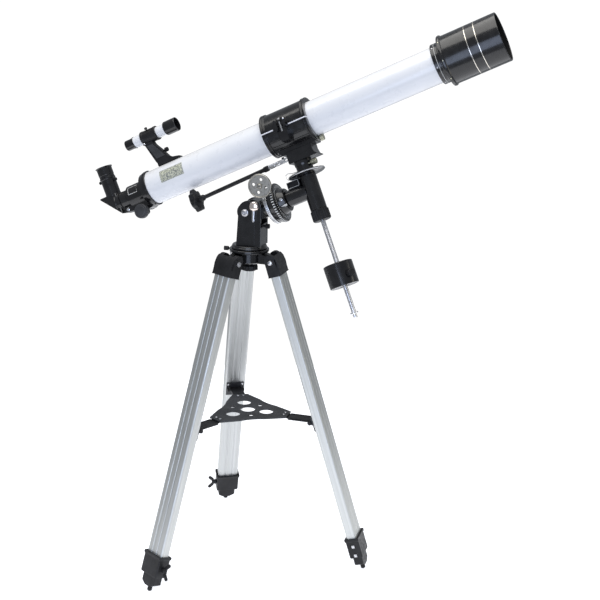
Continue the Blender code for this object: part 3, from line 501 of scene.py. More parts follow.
# ---------------------------------------------------------------- wing screws
# Moulded wings on a steel screw; each presses on its inner leg and holds it at the length set.
for number, leg in enumerate(LEGS, 1):
    bm = turned([(0, 0.0241), (0.0025, 0.0241), (0.0025, 0.0286), (0.0056, 0.0286), (0.0062, 0.0300),
                 (0.0056, 0.0370), (0.0040, 0.0385), (0, 0.0388)], 40)
    wings = arc(0, 0.0360, 0.0050, 215, 325, 6)
    wings += [(0.0105, 0.0352)] + arc(0.0152, 0.0452, 0.0042, -50, 110, 8)
    wings += [(0.0080, 0.0440), (0.0040, 0.0400), (-0.0040, 0.0400), (-0.0080, 0.0440)]
    wings += arc(-0.0152, 0.0452, 0.0042, 70, 230, 8) + [(-0.0105, 0.0352)]
    slab([(x, y) for x, y in wings], -0.0019, 0.0019, UPRIGHT, bm)
    piece("wing_screw_%d" % number, bm, leg @ Matrix.Translation((0, 0, 0.060)) @ ALONG_Y, moulded_black,
          "leg_wing_screw_%d" % number, "leg_wing_screw_%d" % number, ease=0.0008)


# ---------------------------------------------------------------- inner legs and feet
# Plain aluminium channel that slides inside each outer leg.  Its lower end is plugged by a moulded
# block that carries a ringed rubber tip.
def rubber_finish():
    material, tree, shader, coords = finish("rubber", "black_plastic", (0.016, 0.016, 0.016), 0.0, 0.75, 0.3)
    shades(tree, grain(tree, coords, 60), shader.inputs["Base Color"], (0.012, 0.012, 0.012),
           (0.026, 0.025, 0.024))
    relief(tree, grain(tree, coords, 900, 2), shader, 0.3, 0.0003)
    return material


rubber = rubber_finish()
for number, leg in enumerate(LEGS, 1):
    bm = sleeve([(z, rounded(x, y, radius, 4)) for z, x, y, radius in (
        (0.0405, 0.0094, 0.0227, 0.0025), (0.6000, 0.0094, 0.0227, 0.0025), (0.6000, 0.0079, 0.0212, 0.0018),
        (0.0405, 0.0079, 0.0212, 0.0018))])
    piece("inner_leg_%d" % number, bm, leg, anodised[number - 1], "leg_inner_%d" % number,
          "leg_inner_%d" % number, ease=0)
    block = slab([(-0.0205, 0.0600), (-0.0205, 0.0205), (-0.0085, 0.0135), (0.0085, 0.0135),
                  (0.0205, 0.0205), (0.0205, 0.0600)], -0.0082, 0.0082, ALONG_X)
    slab([(-0.0208, 0.0398), (-0.0208, 0.0205), (-0.0085, 0.0135), (0.0085, 0.0135), (0.0208, 0.0205),
          (0.0208, 0.0398)], -0.0108, 0.0108, ALONG_X, block)
    piece("foot_block_%d" % number, block, leg, moulded_black, "leg_inner_%d" % number, ease=0.0008)
    tip = [(0, 0.0), (0.0026, 0.0007), (0.0043, 0.0024)]
    for step in range(4):
        z = 0.0030 + 0.0030 * step
        tip += [(0.0052, z), (0.0055, z + 0.0006), (0.0055, z + 0.0016), (0.0048, z + 0.0022)]
    tip += [(0.0062, 0.0152), (0, 0.0152)]
    piece("foot_tip_%d" % number, turned(tip, 40), leg, rubber, "leg_inner_%d" % number, ease=0)


# ---------------------------------------------------------------- accessory tray
# A moulded three-armed plate between the legs.  Large and small holes hold eyepieces, a raised rim runs
# round its edge, and a screw under each corner fastens it to an arm.
TRAY_TOP = 0.3630


def textured_black_finish():
    material, tree, shader, coords = finish("textured_black", "black_plastic", (0.030, 0.031, 0.034), 0.0,
                                            0.5, 0.45)
    shades(tree, grain(tree, coords, 40), shader.inputs["Base Color"], (0.022, 0.023, 0.026),
           (0.042, 0.043, 0.048))
    shades(tree, grain(tree, coords, 700), shader.inputs["Roughness"], 0.38, 0.58)
    relief(tree, grain(tree, coords, 1900, 2), shader, 0.45, 0.0003)
    return material


textured_black = textured_black_finish()
edge = []
for middle in (0, 120, 240):
    for swing, radius in ((-10.8, 0.1010), (-10.8, 0.1010), (10.8, 0.1010), (36.0, 0.0700), (48.0, 0.0622),
                          (60.0, 0.0600), (72.0, 0.0622), (84.0, 0.0700)):
        point = (radius * cos(radians(middle + swing)), radius * sin(radians(middle + swing)))
        if point not in edge:
            edge.append(point)
holes = [(0, 0, 0.0175)]
for angle in (0, 120, 240):
    holes.append((0.0450 * cos(radians(angle)), 0.0450 * sin(radians(angle)), 0.0165))
    holes.append((0.0380 * cos(radians(angle + 60)), 0.0380 * sin(radians(angle + 60)), 0.0066))
bm = pierced(edge, holes, TRAY_TOP - 0.0040, TRAY_TOP - 0.0004)
for x, y, radius in holes:
    turned([(radius - 0.0001, TRAY_TOP - 0.0042), (radius + 0.0015, TRAY_TOP - 0.0042),
            (radius + 0.0015, TRAY_TOP), (radius - 0.0001, TRAY_TOP)], 48, Matrix.Translation((x, y, 0)), bm)
piece("tray_top", bm, HEAD, textured_black, "tripod", "tray_plate", ease=0.0005)
for number, turn in enumerate(LEG_TURNS, 1):
    bm = bmesh.new()
    for y in (-0.0065, 0.0065):
        turned([(0, TRAY_TOP - 0.0004), (0.0030, TRAY_TOP - 0.0004), (0.0029, TRAY_TOP + 0.0006),
                (0.0020, TRAY_TOP + 0.0012), (0, TRAY_TOP + 0.0014)], 24, Matrix.Translation((0.0895, y, 0)),
               bm)
    piece("tray_rivets_%d" % number, bm, HEAD @ turn, zinc, "tripod", ease=0)


# ---------------------------------------------------------------- tray arms
# A flat moulded arm runs from each corner of the tray to a hinge plate on its leg.  The plate is held
# by two screws and the hinge turns on a pin with a rounded knob at either end.
rise = tan(LEAN)
leg_gap = 0.0003 / cos(LEAN)
arm_top = TRAY_TOP - 0.0043
leg_face = FOOT_RADIUS - ((TRAY_TOP + LEG_X * sin(LEAN)) / cos(LEAN)) * sin(LEAN) - LEG_X * cos(LEAN)


def face_at(z):
    return FOOT_RADIUS - LEG_X / cos(LEAN) - z * rise - leg_gap


for number, turn in enumerate(LEG_TURNS, 1):
    arm_line = [(0.0790, -0.0115), (0.1080, -0.0145), (leg_face - 0.0010, -0.0145),
                (leg_face - 0.0010, 0.0145), (0.1080, 0.0145), (0.0790, 0.0115)]
    bm = slab(arm_line, arm_top - 0.0022, arm_top)
    for side in (-1, 1):
        slab([(0.1010, side * 0.0145), (0.1010, side * 0.0128), (leg_face - 0.0040, side * 0.0128),
              (leg_face - 0.0040, side * 0.0145)], arm_top - 0.0050, arm_top + 0.0010, None, bm)
    bar(0.1000, leg_face - 0.004, -0.0020, 0.0020, arm_top - 0.0046, arm_top - 0.0020, None, bm)
    hinge_place = Matrix.Translation((leg_face - 0.0075, 0, arm_top - 0.0050)) @ ALONG_Y
    turned([(0, -0.0200), (0.0036, -0.0200), (0.0036, 0.0200), (0, 0.0200)], 32, hinge_place, bm)
    for side in (-1, 1):
        turned([(0, side * 0.0165), (0.0044, side * 0.0165), (0.0050, side * 0.0178),
                (0.0050, side * 0.0200), (0.0042, side * 0.0212), (0, side * 0.0212)], 32, hinge_place, bm)
    piece("tray_arm_moulding_%d" % number, bm, HEAD @ turn, moulded_black, "tripod", "tray_arm_%d" % number,
          ease=0.0004)
    low, high = arm_top - 0.0225, arm_top + 0.0130
    bm = slab([(face_at(low), low), (face_at(low) - 0.0022, low), (face_at(high) - 0.0022, high),
               (face_at(high), high)], -0.0218, 0.0218, UPRIGHT)
    for y in (-0.0150, 0.0150):
        slab([(face_at(arm_top) - 0.0001, arm_top - 0.0110), (leg_face - 0.0100, arm_top - 0.0090),
              (leg_face - 0.0105, arm_top - 0.0010), (face_at(arm_top) - 0.0001, arm_top + 0.0040)],
             y - 0.0012, y + 0.0012, UPRIGHT, bm)
    piece("hinge_plate_%d" % number, bm, HEAD @ turn, textured_black, "tripod", ease=0.0005)
    bm = bmesh.new()
    for y in (-0.0165, 0.0165):
        spot = Matrix.Translation((face_at(arm_top + 0.0080) - 0.0022, y, arm_top + 0.0080))
        turned([(0, -0.0004), (0.0034, -0.0004), (0.0031, 0.0008), (0.0018, 0.0015), (0, 0.0017)], 24,
               spot @ Matrix.Rotation(-pi / 2 - LEAN, 4, "Y"), bm)
    piece("hinge_screws_%d" % number, bm, HEAD @ turn, zinc, "tripod", ease=0)


# ---------------------------------------------------------------- yoke
# The die-cast fork of the mount: a turned foot with two stepped rings and two tall cheeks joined by a front
# web.  It is enamelled black and turns on the hub.
bm = turned([(0, 0.7575), (0.0345, 0.7575), (0.0372, 0.7570), (0.0385, 0.7556), (0.0385, 0.7534),
             (0.0400, 0.7528), (0.0400, 0.7496), (0.0392, 0.7484), (0.0064, 0.7484), (0.0064, 0.7552),
             (0, 0.7552)])
cheek = ([(-0.0225, 0.7562), (0.0343, 0.7562)] + arc(0.0245, 0.8487, 0.0098, 0, 90, 10)
         + arc(0.0045, 0.8365, 0.0220, 90, 180, 16))
for low, high in ((-0.0270, -0.0213), (0.0213, 0.0270)):
    slab(cheek, -high, -low, UPRIGHT, bm)
bar(0.0285, 0.0338, -0.0225, 0.0225, 0.7562, 0.8050, None, bm)
piece("yoke_casting", bm, HEAD, black_enamel, "azimuth_head", "yoke", ease=0.0010)
bm = bmesh.new()
for low, high in ((-0.0276, -0.0268), (0.0268, 0.0276)):
    bar(0.0195, 0.0203, 0.7600, 0.8290, -high, -low, UPRIGHT, bm)
piece("yoke_parting_ridge", bm, HEAD, black_enamel, "azimuth_head", ease=0.0002)


# ---------------------------------------------------------------- latitude bolt
# A slotted steel bolt through both cheeks that the polar head tilts on, with a graduated arc beside it.
PIVOT = at_joint("latitude_tilt") @ ALONG_Y
bm = turned([(0.0012, -0.0318), (0.0050, -0.0318), (0.0062, -0.0309), (0.0062, -0.0296), (0.0080, -0.0290),
             (0.0084, -0.0274), (0.0040, -0.0274), (0.0040, 0.0274), (0.0080, 0.0274), (0.0080, 0.0300),
             (0.0070, 0.0310), (0.0012, 0.0310)], 56)
turned([(0, -0.0306), (0.0014, -0.0306), (0.0014, 0.0300), (0, 0.0300)], 24, bm=bm)
piece("latitude_pivot_bolt", bm, PIVOT, zinc, "azimuth_head", "latitude_bolt", ease=0.0003)


# ---------------------------------------------------------------- latitude lever
# A short clamp lever with a domed, warm-toned plated hub; pulling it locks the tilt.
LEVER = at_joint("latitude_lever_turn")
warm_plate = bright_plate_finish("warm_plate", (0.86, 0.76, 0.70), 0.16)
bm = turned([(0, -0.0388), (0.0050, -0.0386), (0.0085, -0.0375), (0.0104, -0.0352), (0.0108, -0.0330),
             (0.0108, -0.0294), (0.0090, -0.0276), (0.0030, -0.0276), (0.0030, -0.0215), (0, -0.0215)], 64)
piece("lever_hub", bm, LEVER @ ALONG_Y, warm_plate, "latitude_lever", "latitude_lever", ease=0.0004)
blade = [(-0.0037, -0.0060), (0.0017, -0.0060), (0.0010, -0.0300)]
blade += arc(-0.0010, -0.0325, 0.0026, 0, -180, 8) + [(-0.0040, -0.0300)]
piece("lever_blade", slab(blade, 0.0300, 0.0345, UPRIGHT), LEVER, chrome, "latitude_lever",
      ease=0.0010)


# ---------------------------------------------------------------- latitude screw
# The ribbed knob in the front web; its screw pushes on the polar block to set the tilt.
SCREW = HEAD @ Matrix.Translation((0, 0, 0.8000)) @ ALONG_X
bm = slab(ribbed(0.0056, 0.0007, 16), 0.0386, 0.0465)
turned([(0, 0.0240), (0.0030, 0.0240), (0.0030, 0.0372), (0.0048, 0.0386), (0, 0.0386)], 32, bm=bm)
turned([(0, 0.0464), (0.0046, 0.0464), (0.0040, 0.0470), (0, 0.0470)], 32, bm=bm)
piece("tilt_knob", bm, SCREW, moulded_black, "latitude_screw", "latitude_screw", ease=0.0003)


# ---------------------------------------------------------------- polar block
# The cast block between the cheeks that carries the polar shaft.  Its rear is round about the latitude
# bolt and its front ends in a bearing ring.
axis_x = Vector(joint["hour_turn"]["axis"])
CROSSING = Vector(joint["hour_turn"]["pos_m"])
POLAR = Matrix.Translation(CROSSING) @ Matrix((axis_x, Vector((0, 1, 0)),
                                               axis_x.cross((0, 1, 0)))).transposed().to_4x4()
pivot = POLAR.inverted() @ Vector(joint["latitude_tilt"]["pos_m"])
side_view = arc(pivot.x, pivot.z, 0.0205, 90, 270, 24)
side_view += [(-0.1340, -0.0160), (-0.1180, -0.0185), (-0.1180, 0.0215), (-0.1300, 0.0305)]
bm = slab(side_view, -0.0207, 0.0207, UPRIGHT)
turned([(0.0084, -0.1250), (0.0200, -0.1250), (0.0200, -0.1045), (0.0084, -0.1045)], 72, ALONG_X, bm)
for side in (-1, 1):
    low, high = sorted((side * 0.0205, side * 0.0209))
    slab(arc(pivot.x, pivot.z, 0.0170, 0, 345, 30), -high, -low, UPRIGHT, bm)
piece("polar_casting", bm, POLAR, black_enamel, "polar_head", "polar_block", ease=0.0010)


# ---------------------------------------------------------------- worm wheel cover
# A turned, plated drum with a double rim that hides the worm wheel; the worm's bearing lug stands on
# its edge.
bm = turned([(0.0084, -0.1042), (0.0330, -0.1042), (0.0395, -0.1034), (0.0410, -0.1020), (0.0412, -0.1006),
             (0.0398, -0.1000), (0.0398, -0.0990), (0.0412, -0.0984), (0.0412, -0.0962), (0.0404, -0.0950),
             (0.0084, -0.0950)], 128, ALONG_X)
bar(-0.1045, -0.0950, -0.0270, -0.0100, 0.0330, 0.0590, None, bm)
bar(-0.0960, -0.0842, -0.0265, -0.0105, 0.0455, 0.0585, None, bm)
turned([(0.0041, -0.0285), (0.0078, -0.0285), (0.0082, -0.0275), (0.0082, -0.0095), (0.0041, -0.0095)], 40,
       Matrix.Translation((-0.0912, 0, 0.0518)) @ ALONG_Y, bm)
satin_steel = bright_plate_finish("satin_steel", (0.62, 0.63, 0.65), 0.26)
piece("worm_wheel_drum", bm, POLAR, satin_steel, "polar_head", "worm_wheel", ease=0.0006)


# ---------------------------------------------------------------- polar handwheel
# A thin satin-plated wheel with a rolled rim, four round holes and a hub on the worm's shaft.
WHEEL = at_joint("polar_handwheel_turn") @ (
    POLAR.to_3x3().to_4x4()) @ ALONG_Y
spots = [(0.0142 * cos(radians(angle)), 0.0142 * sin(radians(angle)), 0.0036)
         for angle in (35, 125, 215, 305)]
bm = pierced(polygon(0.0250, 72), spots, -0.0484, -0.0456, steps=28)
turned([(0.0246 + 0.0020 * cos(radians(angle)), -0.0468 + 0.0032 * sin(radians(angle))) for angle in range(0,
    360, 24)], 96, None, bm)
turned([(0, -0.0520), (0.0036, -0.0520), (0.0052, -0.0508), (0.0062, -0.0484), (0.0062, -0.0456),
        (0.0055, -0.0435), (0.0055, -0.0290), (0.0037, -0.0290), (0.0037, -0.0150), (0, -0.0150)], 56, None,
       bm)
for x, y, radius in spots:
    turned([(radius - 0.0001, -0.0488), (radius + 0.0009, -0.0488), (radius + 0.0009, -0.0452),
            (radius - 0.0001, -0.0452)], 28, Matrix.Translation((x, y, 0)), bm)
wheel_plate = bright_plate_finish("wheel_plate", (0.36, 0.345, 0.31), 0.38)
piece("polar_wheel", bm, WHEEL, wheel_plate, "polar_handwheel", "polar_handwheel", ease=0.0002)
bm = turned([(0, -0.0524), (0.0014, -0.0524), (0.0014, -0.0512), (0, -0.0512)], 24)
piece("polar_wheel_screw", bm, WHEEL, moulded_black, "polar_handwheel", ease=0)


# ---------------------------------------------------------------- hour circle
# A cast dish on the polar shaft with a graduated silver and black band, read against a pointer.  Its
# neck is drilled for the lock screw.
hour_n = Vector(joint["declination_turn"]["axis"])
HOUR = Matrix.Translation(CROSSING) @ Matrix((axis_x, hour_n.cross(axis_x), hour_n)).transposed().to_4x4()
bm = turned([(0.0084, -0.0946), (0.0380, -0.0946), (0.0398, -0.0938), (0.0434, -0.0846), (0.0443, -0.0832),
             (0.0443, -0.0770), (0.0432, -0.0755), (0.0415, -0.0752), (0.0405, -0.0757), (0.0300, -0.0740),
             (0.0262, -0.0610), (0.0255, -0.0598), (0.0240, -0.0588), (0.0084, -0.0588)], 144, ALONG_X)
piece("hour_dish", bm, HOUR, black_enamel, "hour_head", "hour_circle", ease=0.0003)


def pale_paint_finish(name, base, rough=0.5):
    material, tree, shader, coords = finish(name, "white_enamel", base, 0.0, rough)
    shades(tree, grain(tree, coords, 300), shader.inputs["Base Color"], tuple(v * 0.9 for v in base), base)
    return material


scale_paint = pale_paint_finish("scale_paint", (0.62, 0.62, 0.60))


def ticks(count, inner, outer, height, slope, width, place, bm, long_every=5, thin=0.00018):
    """Raised graduation marks round a dial: every fifth one is longer."""
    for i in range(count):
        start = inner - (0.0018 if i % long_every == 0 else 0.0)
        mark = bar(start, outer, -width / 2, width / 2, 0, thin,
                    Matrix.Rotation(2 * pi * i / count, 4, "Z") @ Matrix.Translation((0, 0, height))
                    @ Matrix.Rotation(slope, 4, "Y"))
        gathered(mark, place, bm)
    return bm


bm = bmesh.new()
for i in range(48):
    start = -0.0826 if i % 4 else -0.0832
    mark = bar(start, -0.0776, -0.0011, 0.0011, 0.0442, 0.0446)
    gathered(mark, Matrix.Rotation(2 * pi * i / 48, 4, "X"), bm)
piece("hour_marks", bm, HOUR, scale_paint, "hour_head", ease=0)
bm = ticks(48, 0.0335, 0.0395, -0.0744, 0.0, 0.0010, ALONG_X, bmesh.new(), 4, 0.0003)
piece("hour_face_marks", bm, HOUR, scale_paint, "hour_head", ease=0)
bm = slab([(-0.0790, 0.0), (-0.0700, -0.0022), (-0.0640, -0.0022), (-0.0640, 0.0022), (-0.0700, 0.0022)],
          0.0285, 0.0293)
piece("hour_pointer", bm, HOUR @ Matrix.Rotation(radians(118), 4, "X")
      @ Matrix.Translation((0.0075, 0, 0.0012)), scale_paint, "hour_head", ease=0.0001)


# ---------------------------------------------------------------- hour lock screw
# A small plated screw through the dish's neck that clamps it to the shaft.
LOCK = Matrix.Translation(CROSSING) @ HOUR.to_3x3().to_4x4() @ Matrix.Translation((-0.0645, 0, 0)) @ ALONG_Y
bm = slab(polygon(0.0034, 6), -0.0350, -0.0318)
turned([(0, -0.0322), (0.0036, -0.0322), (0.0036, -0.0310), (0.0018, -0.0300), (0.0018, -0.0200),
        (0, -0.0200)], 32, bm=bm)
piece("hour_clamp_screw", bm, LOCK, chrome, "hour_lock_screw", "hour_lock_screw", ease=0.0003)


# ---------------------------------------------------------------- declination housing
# The T-shaped casting that turns about the polar axis: a barrel for the declination shaft, a neck to
# the polar shaft and a ribbed collar at the bottom.  A small framed box on the neck holds a spirit
# level.
bm = turned([(0.0084, -0.0100), (0.0084, 0.0335), (0.0178, 0.0335), (0.0185, 0.0322), (0.0185, -0.0450),
             (0.0180, -0.0460), (0, -0.0460), (0, -0.0100)], 96)
neck = [(0, -0.0585), (0.0176, -0.0585), (0.0185, -0.0572), (0.0180, -0.0100), (0, -0.0100)]
turned(neck, 80, ALONG_X, bm)
turned([(0, -0.1440), (0.0079, -0.1440), (0.0079, -0.0500), (0, -0.0500)], 56, ALONG_X, bm)
piece("declination_casting", bm, HOUR, black_enamel, "hour_head", "declination_housing", ease=0.0006)
bm = slab(ribbed(0.0205, 0.0014, 24, 6), -0.0690, -0.0482)
turned([(0.0059, -0.0712), (0.0175, -0.0712), (0.0192, -0.0700), (0.0192, -0.0470), (0.0180, -0.0462),
        (0.0059, -0.0462)], 96, None, bm)
piece("shaft_collar", bm, HOUR, moulded_black, "hour_head", ease=0.0004)
bm = bmesh.new()
filled(bm, ring_at(bm, rounded(0.0148, 0.0076, 0.0008, 2), 0) + ring_at(bm, rounded(0.0119, 0.0052, 0.0006,
    2), 0), 0.0240)
bm.transform(Matrix.Translation((-0.03335, 0.0120, 0.0246)) @ UPRIGHT)
bar(-0.0480, -0.0210, -0.0100, 0.0100, 0.0150, 0.0185, None, bm)
bar(-0.0468, -0.0222, -0.0085, 0.0085, 0.0195, 0.0302, None, bm)
bmesh.ops.recalc_face_normals(bm, faces=bm.faces)
piece("level_box", bm, HOUR, moulded_black, "hour_head", ease=0.0004)
bm = bmesh.new()
for low, high in (((-0.0485, 0.0179), (-0.0205, 0.0186)), ((-0.0485, 0.0315), (-0.0205, 0.0322)),
                  ((-0.0485, 0.0179), (-0.0478, 0.0322)), ((-0.0212, 0.0179), (-0.0205, 0.0322))):
    slab([(low[0], low[1]), (high[0], low[1]), (high[0], high[1]), (low[0], high[1])], 0.0120, 0.0122,
         UPRIGHT, bm)
piece("level_box_line", bm, HOUR, scale_paint, "hour_head", ease=0)


# ---------------------------------------------------------------- declination circle
# A shallow cast saucer under the saddle with a silvered upper face and raised black graduations.
bm = turned([(0.0084, 0.0338), (0.0320, 0.0338), (0.0400, 0.0358), (0.0414, 0.0366), (0.0418, 0.0376),
             (0.0412, 0.0385), (0.0398, 0.0388), (0.0250, 0.0413), (0.0084, 0.0413)], 144)
piece("declination_dish", bm, HOUR, black_enamel, "hour_head", "declination_circle", ease=0.0003)
slope = atan2(0.0413 - 0.0388, 0.0398 - 0.0250)
bm = ticks(36, 0.0350, 0.0412, 0.0, 0.0, 0.0034, None, bmesh.new(), 6, 0.0010)
for v in bm.verts:
    v.co.z += 0.0389 + (0.0398 - hypot(v.co.x, v.co.y)) * tan(slope)
piece("declination_marks", bm, HOUR, moulded_black, "hour_head", ease=0)
bm = turned([(0.0340, 0.0386), (0.0340, 0.0400), (0.0409, 0.0389), (0.0421, 0.0379), (0.0421, 0.0370),
             (0.0411, 0.0362)], 144)
piece("declination_rim", bm, HOUR, satin_steel, "hour_head", ease=0)


# ---------------------------------------------------------------- declination pointer
# A bent strip of sheet metal on the saddle's collar that reads the declination circle.
bm = bmesh.new()
route = [(-0.0165, 0.0475), (-0.0300, 0.0475), (-0.0395, 0.0500), (-0.0450, 0.0478), (-0.0452, 0.0400),
         (-0.0425, 0.0352)]
for (x0, z0), (x1, z1) in zip(route, route[1:]):
    run = hypot(x1 - x0, z1 - z0)
    place = Matrix.Translation((x0, 0, z0)) @ Matrix.Rotation(-atan2(z1 - z0, x1 - x0), 4, "Y")
    bar(-0.0004, run + 0.0004, -0.0004, 0.0004, -0.0022, 0.0022,
         place @ UPRIGHT, bm)
piece("declination_pointer", bm, HOUR @ Matrix.Rotation(radians(20), 4, "Z"), scale_paint, "telescope",
      ease=0.0001)


# ---------------------------------------------------------------- counterweight shaft
# A chromed steel rod threaded over its length, with a washer and a bolt at the bottom as a stop.
bm = turned([(0, -0.0410), (0.0053, -0.0410), (0.0053, -0.2810), (0.0084, -0.2812), (0.0092, -0.2820),
             (0.0092, -0.2842), (0.0084, -0.2850), (0.0048, -0.2852), (0.0048, -0.2925), (0.0038, -0.2940),
             (0, -0.2940)], 64)
piece("weight_shaft", bm, HOUR, chrome, "hour_head", "counterweight_shaft", ease=0.0003)
PITCH, TURNS, FACETS = 0.0018, 115, 28
bm = bmesh.new()
ridge = wire(bm, [(0.0051, 0.0005), (0.00585, 0.0), (0.0051, -0.0005)], closed=False)
bmesh.ops.spin(bm, geom=ridge, cent=(0, 0, 0), axis=(0, 0, 1), dvec=(0, 0, PITCH / FACETS),
               angle=2 * pi * TURNS, steps=FACETS * TURNS, use_merge=False, use_normal_flip=False,
               use_duplicate=False)
bm.transform(Matrix.Translation((0, 0, -0.2800)))
bmesh.ops.recalc_face_normals(bm, faces=bm.faces)
piece("weight_shaft_thread", bm, HOUR, chrome, "hour_head", ease=0)


# ---------------------------------------------------------------- counterweight
# A turned iron drum in black enamel that slides on the shaft, with a shallow recess in each face.
bm = turned([(0.0062, -0.1712), (0.0110, -0.1712), (0.0125, -0.1700), (0.0300, -0.1700), (0.0318, -0.1706),
             (0.0325, -0.1724), (0.0325, -0.2196), (0.0318, -0.2214), (0.0300, -0.2220), (0.0125, -0.2220),
             (0.0110, -0.2208), (0.0062, -0.2208)], 128)
piece("weight_drum", bm, HOUR, black_enamel, "counterweight", "counterweight", ease=0.0003)
KNOB = at_joint("counterweight_knob_turn")
knob_axis = Vector(joint["counterweight_knob_turn"]["axis"])
KNOB = KNOB @ Matrix((hour_n.cross(knob_axis), hour_n, knob_axis)).transposed().to_4x4()
bm = slab(ribbed(0.0090, 0.0012, 12, 8), 0.0345, 0.0445)
turned([(0, 0.0064), (0.0030, 0.0064), (0.0030, 0.0328), (0.0060, 0.0332), (0.0078, 0.0346), (0, 0.0346)],
       48, bm=bm)
turned([(0, 0.0444), (0.0076, 0.0444), (0.0066, 0.0455), (0, 0.0458)], 48, bm=bm)
piece("weight_knob", bm, KNOB, moulded_black, "counterweight_knob", "counterweight_knob", ease=0.0006)


# ---------------------------------------------------------------- saddle
# The cast head of the declination shaft: a round collar and a flat block with flared lower edges that the
# cradle stands on.
SADDLE = [(-0.0250, 0.0662), (0.0428, 0.0662), (0.0438, 0.0677), (0.0383, 0.0722), (0.0358, 0.0830),
          (0.0364, 0.0925), (-0.0356, 0.0925), (-0.0356, 0.0893), (-0.0246, 0.0870)]
bm = slab(SADDLE, -0.0210, 0.0210, UPRIGHT)
turned([(0, 0.0050), (0.0080, 0.0050), (0.0080, 0.0418), (0.0172, 0.0418), (0.0182, 0.0426),
        (0.0186, 0.0440), (0.0186, 0.0548), (0.0196, 0.0580), (0.0200, 0.0600), (0.0200, 0.0660),
        (0, 0.0660)], 96, None, bm)
piece("saddle_casting", bm, HOUR, black_enamel, "telescope", "saddle", ease=0.0009)


# ---------------------------------------------------------------- declination lock knob
# A knurled, warm-plated thumb screw in the saddle's collar.
DEC_LOCK = at_joint("declination_lock_turn") @ HOUR.to_3x3().to_4x4() @ \
    Matrix.Translation((-0.020, 0, 0)) @ ALONG_X
bm = slab(ribbed(0.0067, 0.0005, 18, 6), 0.0222, 0.0333)
turned([(0, 0.0125), (0.0022, 0.0125), (0.0022, 0.0202), (0.0056, 0.0205), (0.0060, 0.0222), (0, 0.0222)],
       40, bm=bm)
turned([(0, 0.0332), (0.0058, 0.0332), (0.0052, 0.0344), (0, 0.0345)], 40, bm=bm)
olive_plate = bright_plate_finish("olive_plate", (0.50, 0.49, 0.38), 0.24)
piece("collar_thumb_screw", bm, DEC_LOCK, olive_plate, "declination_lock_knob", "declination_lock_knob",
      ease=0.0002)


# ---------------------------------------------------------------- declination control
# A plated universal joint on the worm's end, a black sleeve over a long rod, and a seven-lobed hand knob.
control_x = Vector(joint["declination_control_turn"]["axis"])
CONTROL = at_joint("declination_control_turn") @ Matrix(
    (control_x, HOUR.to_3x3() @ Vector((0, 1, 0)),
     control_x.cross(HOUR.to_3x3() @ Vector((0, 1, 0))))).transposed().to_4x4()
bm = turned([(0, 0.0080), (0.0038, 0.0080), (0.0038, -0.0120), (0, -0.0120)], 48, ALONG_X)
for sign in (-1, 1):
    low, high = sorted((sign * 0.0018, sign * 0.0044))
    bar(-0.0100, -0.0440, -0.0036, 0.0036, low, high, None, bm)
turned([(0, -0.0330), (0.0034, -0.0335), (0.0034, -0.0440), (0.0052, -0.0445), (0.0052, -0.0560),
        (0.0044, -0.0566), (0.0044, -0.0580), (0.0052, -0.0586), (0.0052, -0.0730), (0.0042, -0.0740),
        (0.0042, -0.0780), (0, -0.0780)], 48, ALONG_X, bm)
piece("universal_joint", bm, CONTROL, chrome, "declination_control", "declination_control", ease=0.0003)
bm = turned([(0, 0.0), (0.0030, 0.0), (0.0030, 0.0040), (0.0022, 0.0048), (0, 0.0048)], 24,
            Matrix.Translation((-0.0360, 0, 0.0038)))
piece("universal_joint_screw", bm, CONTROL, moulded_black, "declination_control", ease=0.0002)
bm = turned([(0, -0.0735), (0.0048, -0.0735), (0.0060, -0.0742), (0.0064, -0.0760), (0.0064, -0.0840),
             (0.0056, -0.0862), (0.0046, -0.0880), (0.0046, -0.2410), (0.0070, -0.2430), (0.0075, -0.2590),
             (0, -0.2590)], 64, ALONG_X)
slab(ribbed(0.0268, 0.0046, 7, 14), -0.2680, -0.2575, ALONG_X, bm)
turned([(0, -0.2530), (0.0150, -0.2545), (0.0208, -0.2565), (0.0208, -0.2585), (0, -0.2585)], 64, ALONG_X,
       bm)
turned([(0, -0.2675), (0.0205, -0.2675), (0.0192, -0.2708), (0.0150, -0.2724), (0.0110, -0.2712),
        (0, -0.2712)], 64, ALONG_X, bm)
piece("slow_motion_handle", bm, CONTROL, moulded_black, "declination_control", ease=0.0016, segments=3)


# ---------------------------------------------------------------- saddle screw
# A knurled thumb screw through the cradle's rear rim into the saddle block.
SADDLE_SCREW = at_joint("saddle_screw_turn") @ HOUR.to_3x3().to_4x4() @ \
    Matrix.Translation((-0.050, 0, 0)) @ ALONG_X
bm = slab(ribbed(0.0068, 0.0006, 20, 6), 0.0556, 0.0634)
turned([(0, 0.0310), (0.0030, 0.0310), (0.0030, 0.0547), (0.0058, 0.0550), (0.0058, 0.0556), (0, 0.0556)],
       40, bm=bm)
turned([(0, 0.0634), (0.0058, 0.0634), (0.0050, 0.0642), (0, 0.0642)], 40, bm=bm)
piece("cradle_thumb_screw", bm, SADDLE_SCREW, olive_plate, "saddle_screw", "saddle_screw", ease=0.0002)


# ---------------------------------------------------------------- cradle
# Two cast half rings, hinged on the far side and clamped on the near side, that grip the tube.  Raised
# rims run round both ends, and the lower half stands on a ribbed base.
TUBE_UP = (HOUR.inverted() @ Vector(joint["cradle_open"]["pos_m"])).z
TUBE_RADIUS = 0.0385
RIM, BODY, LINING = 0.0496, 0.0472, 0.0388


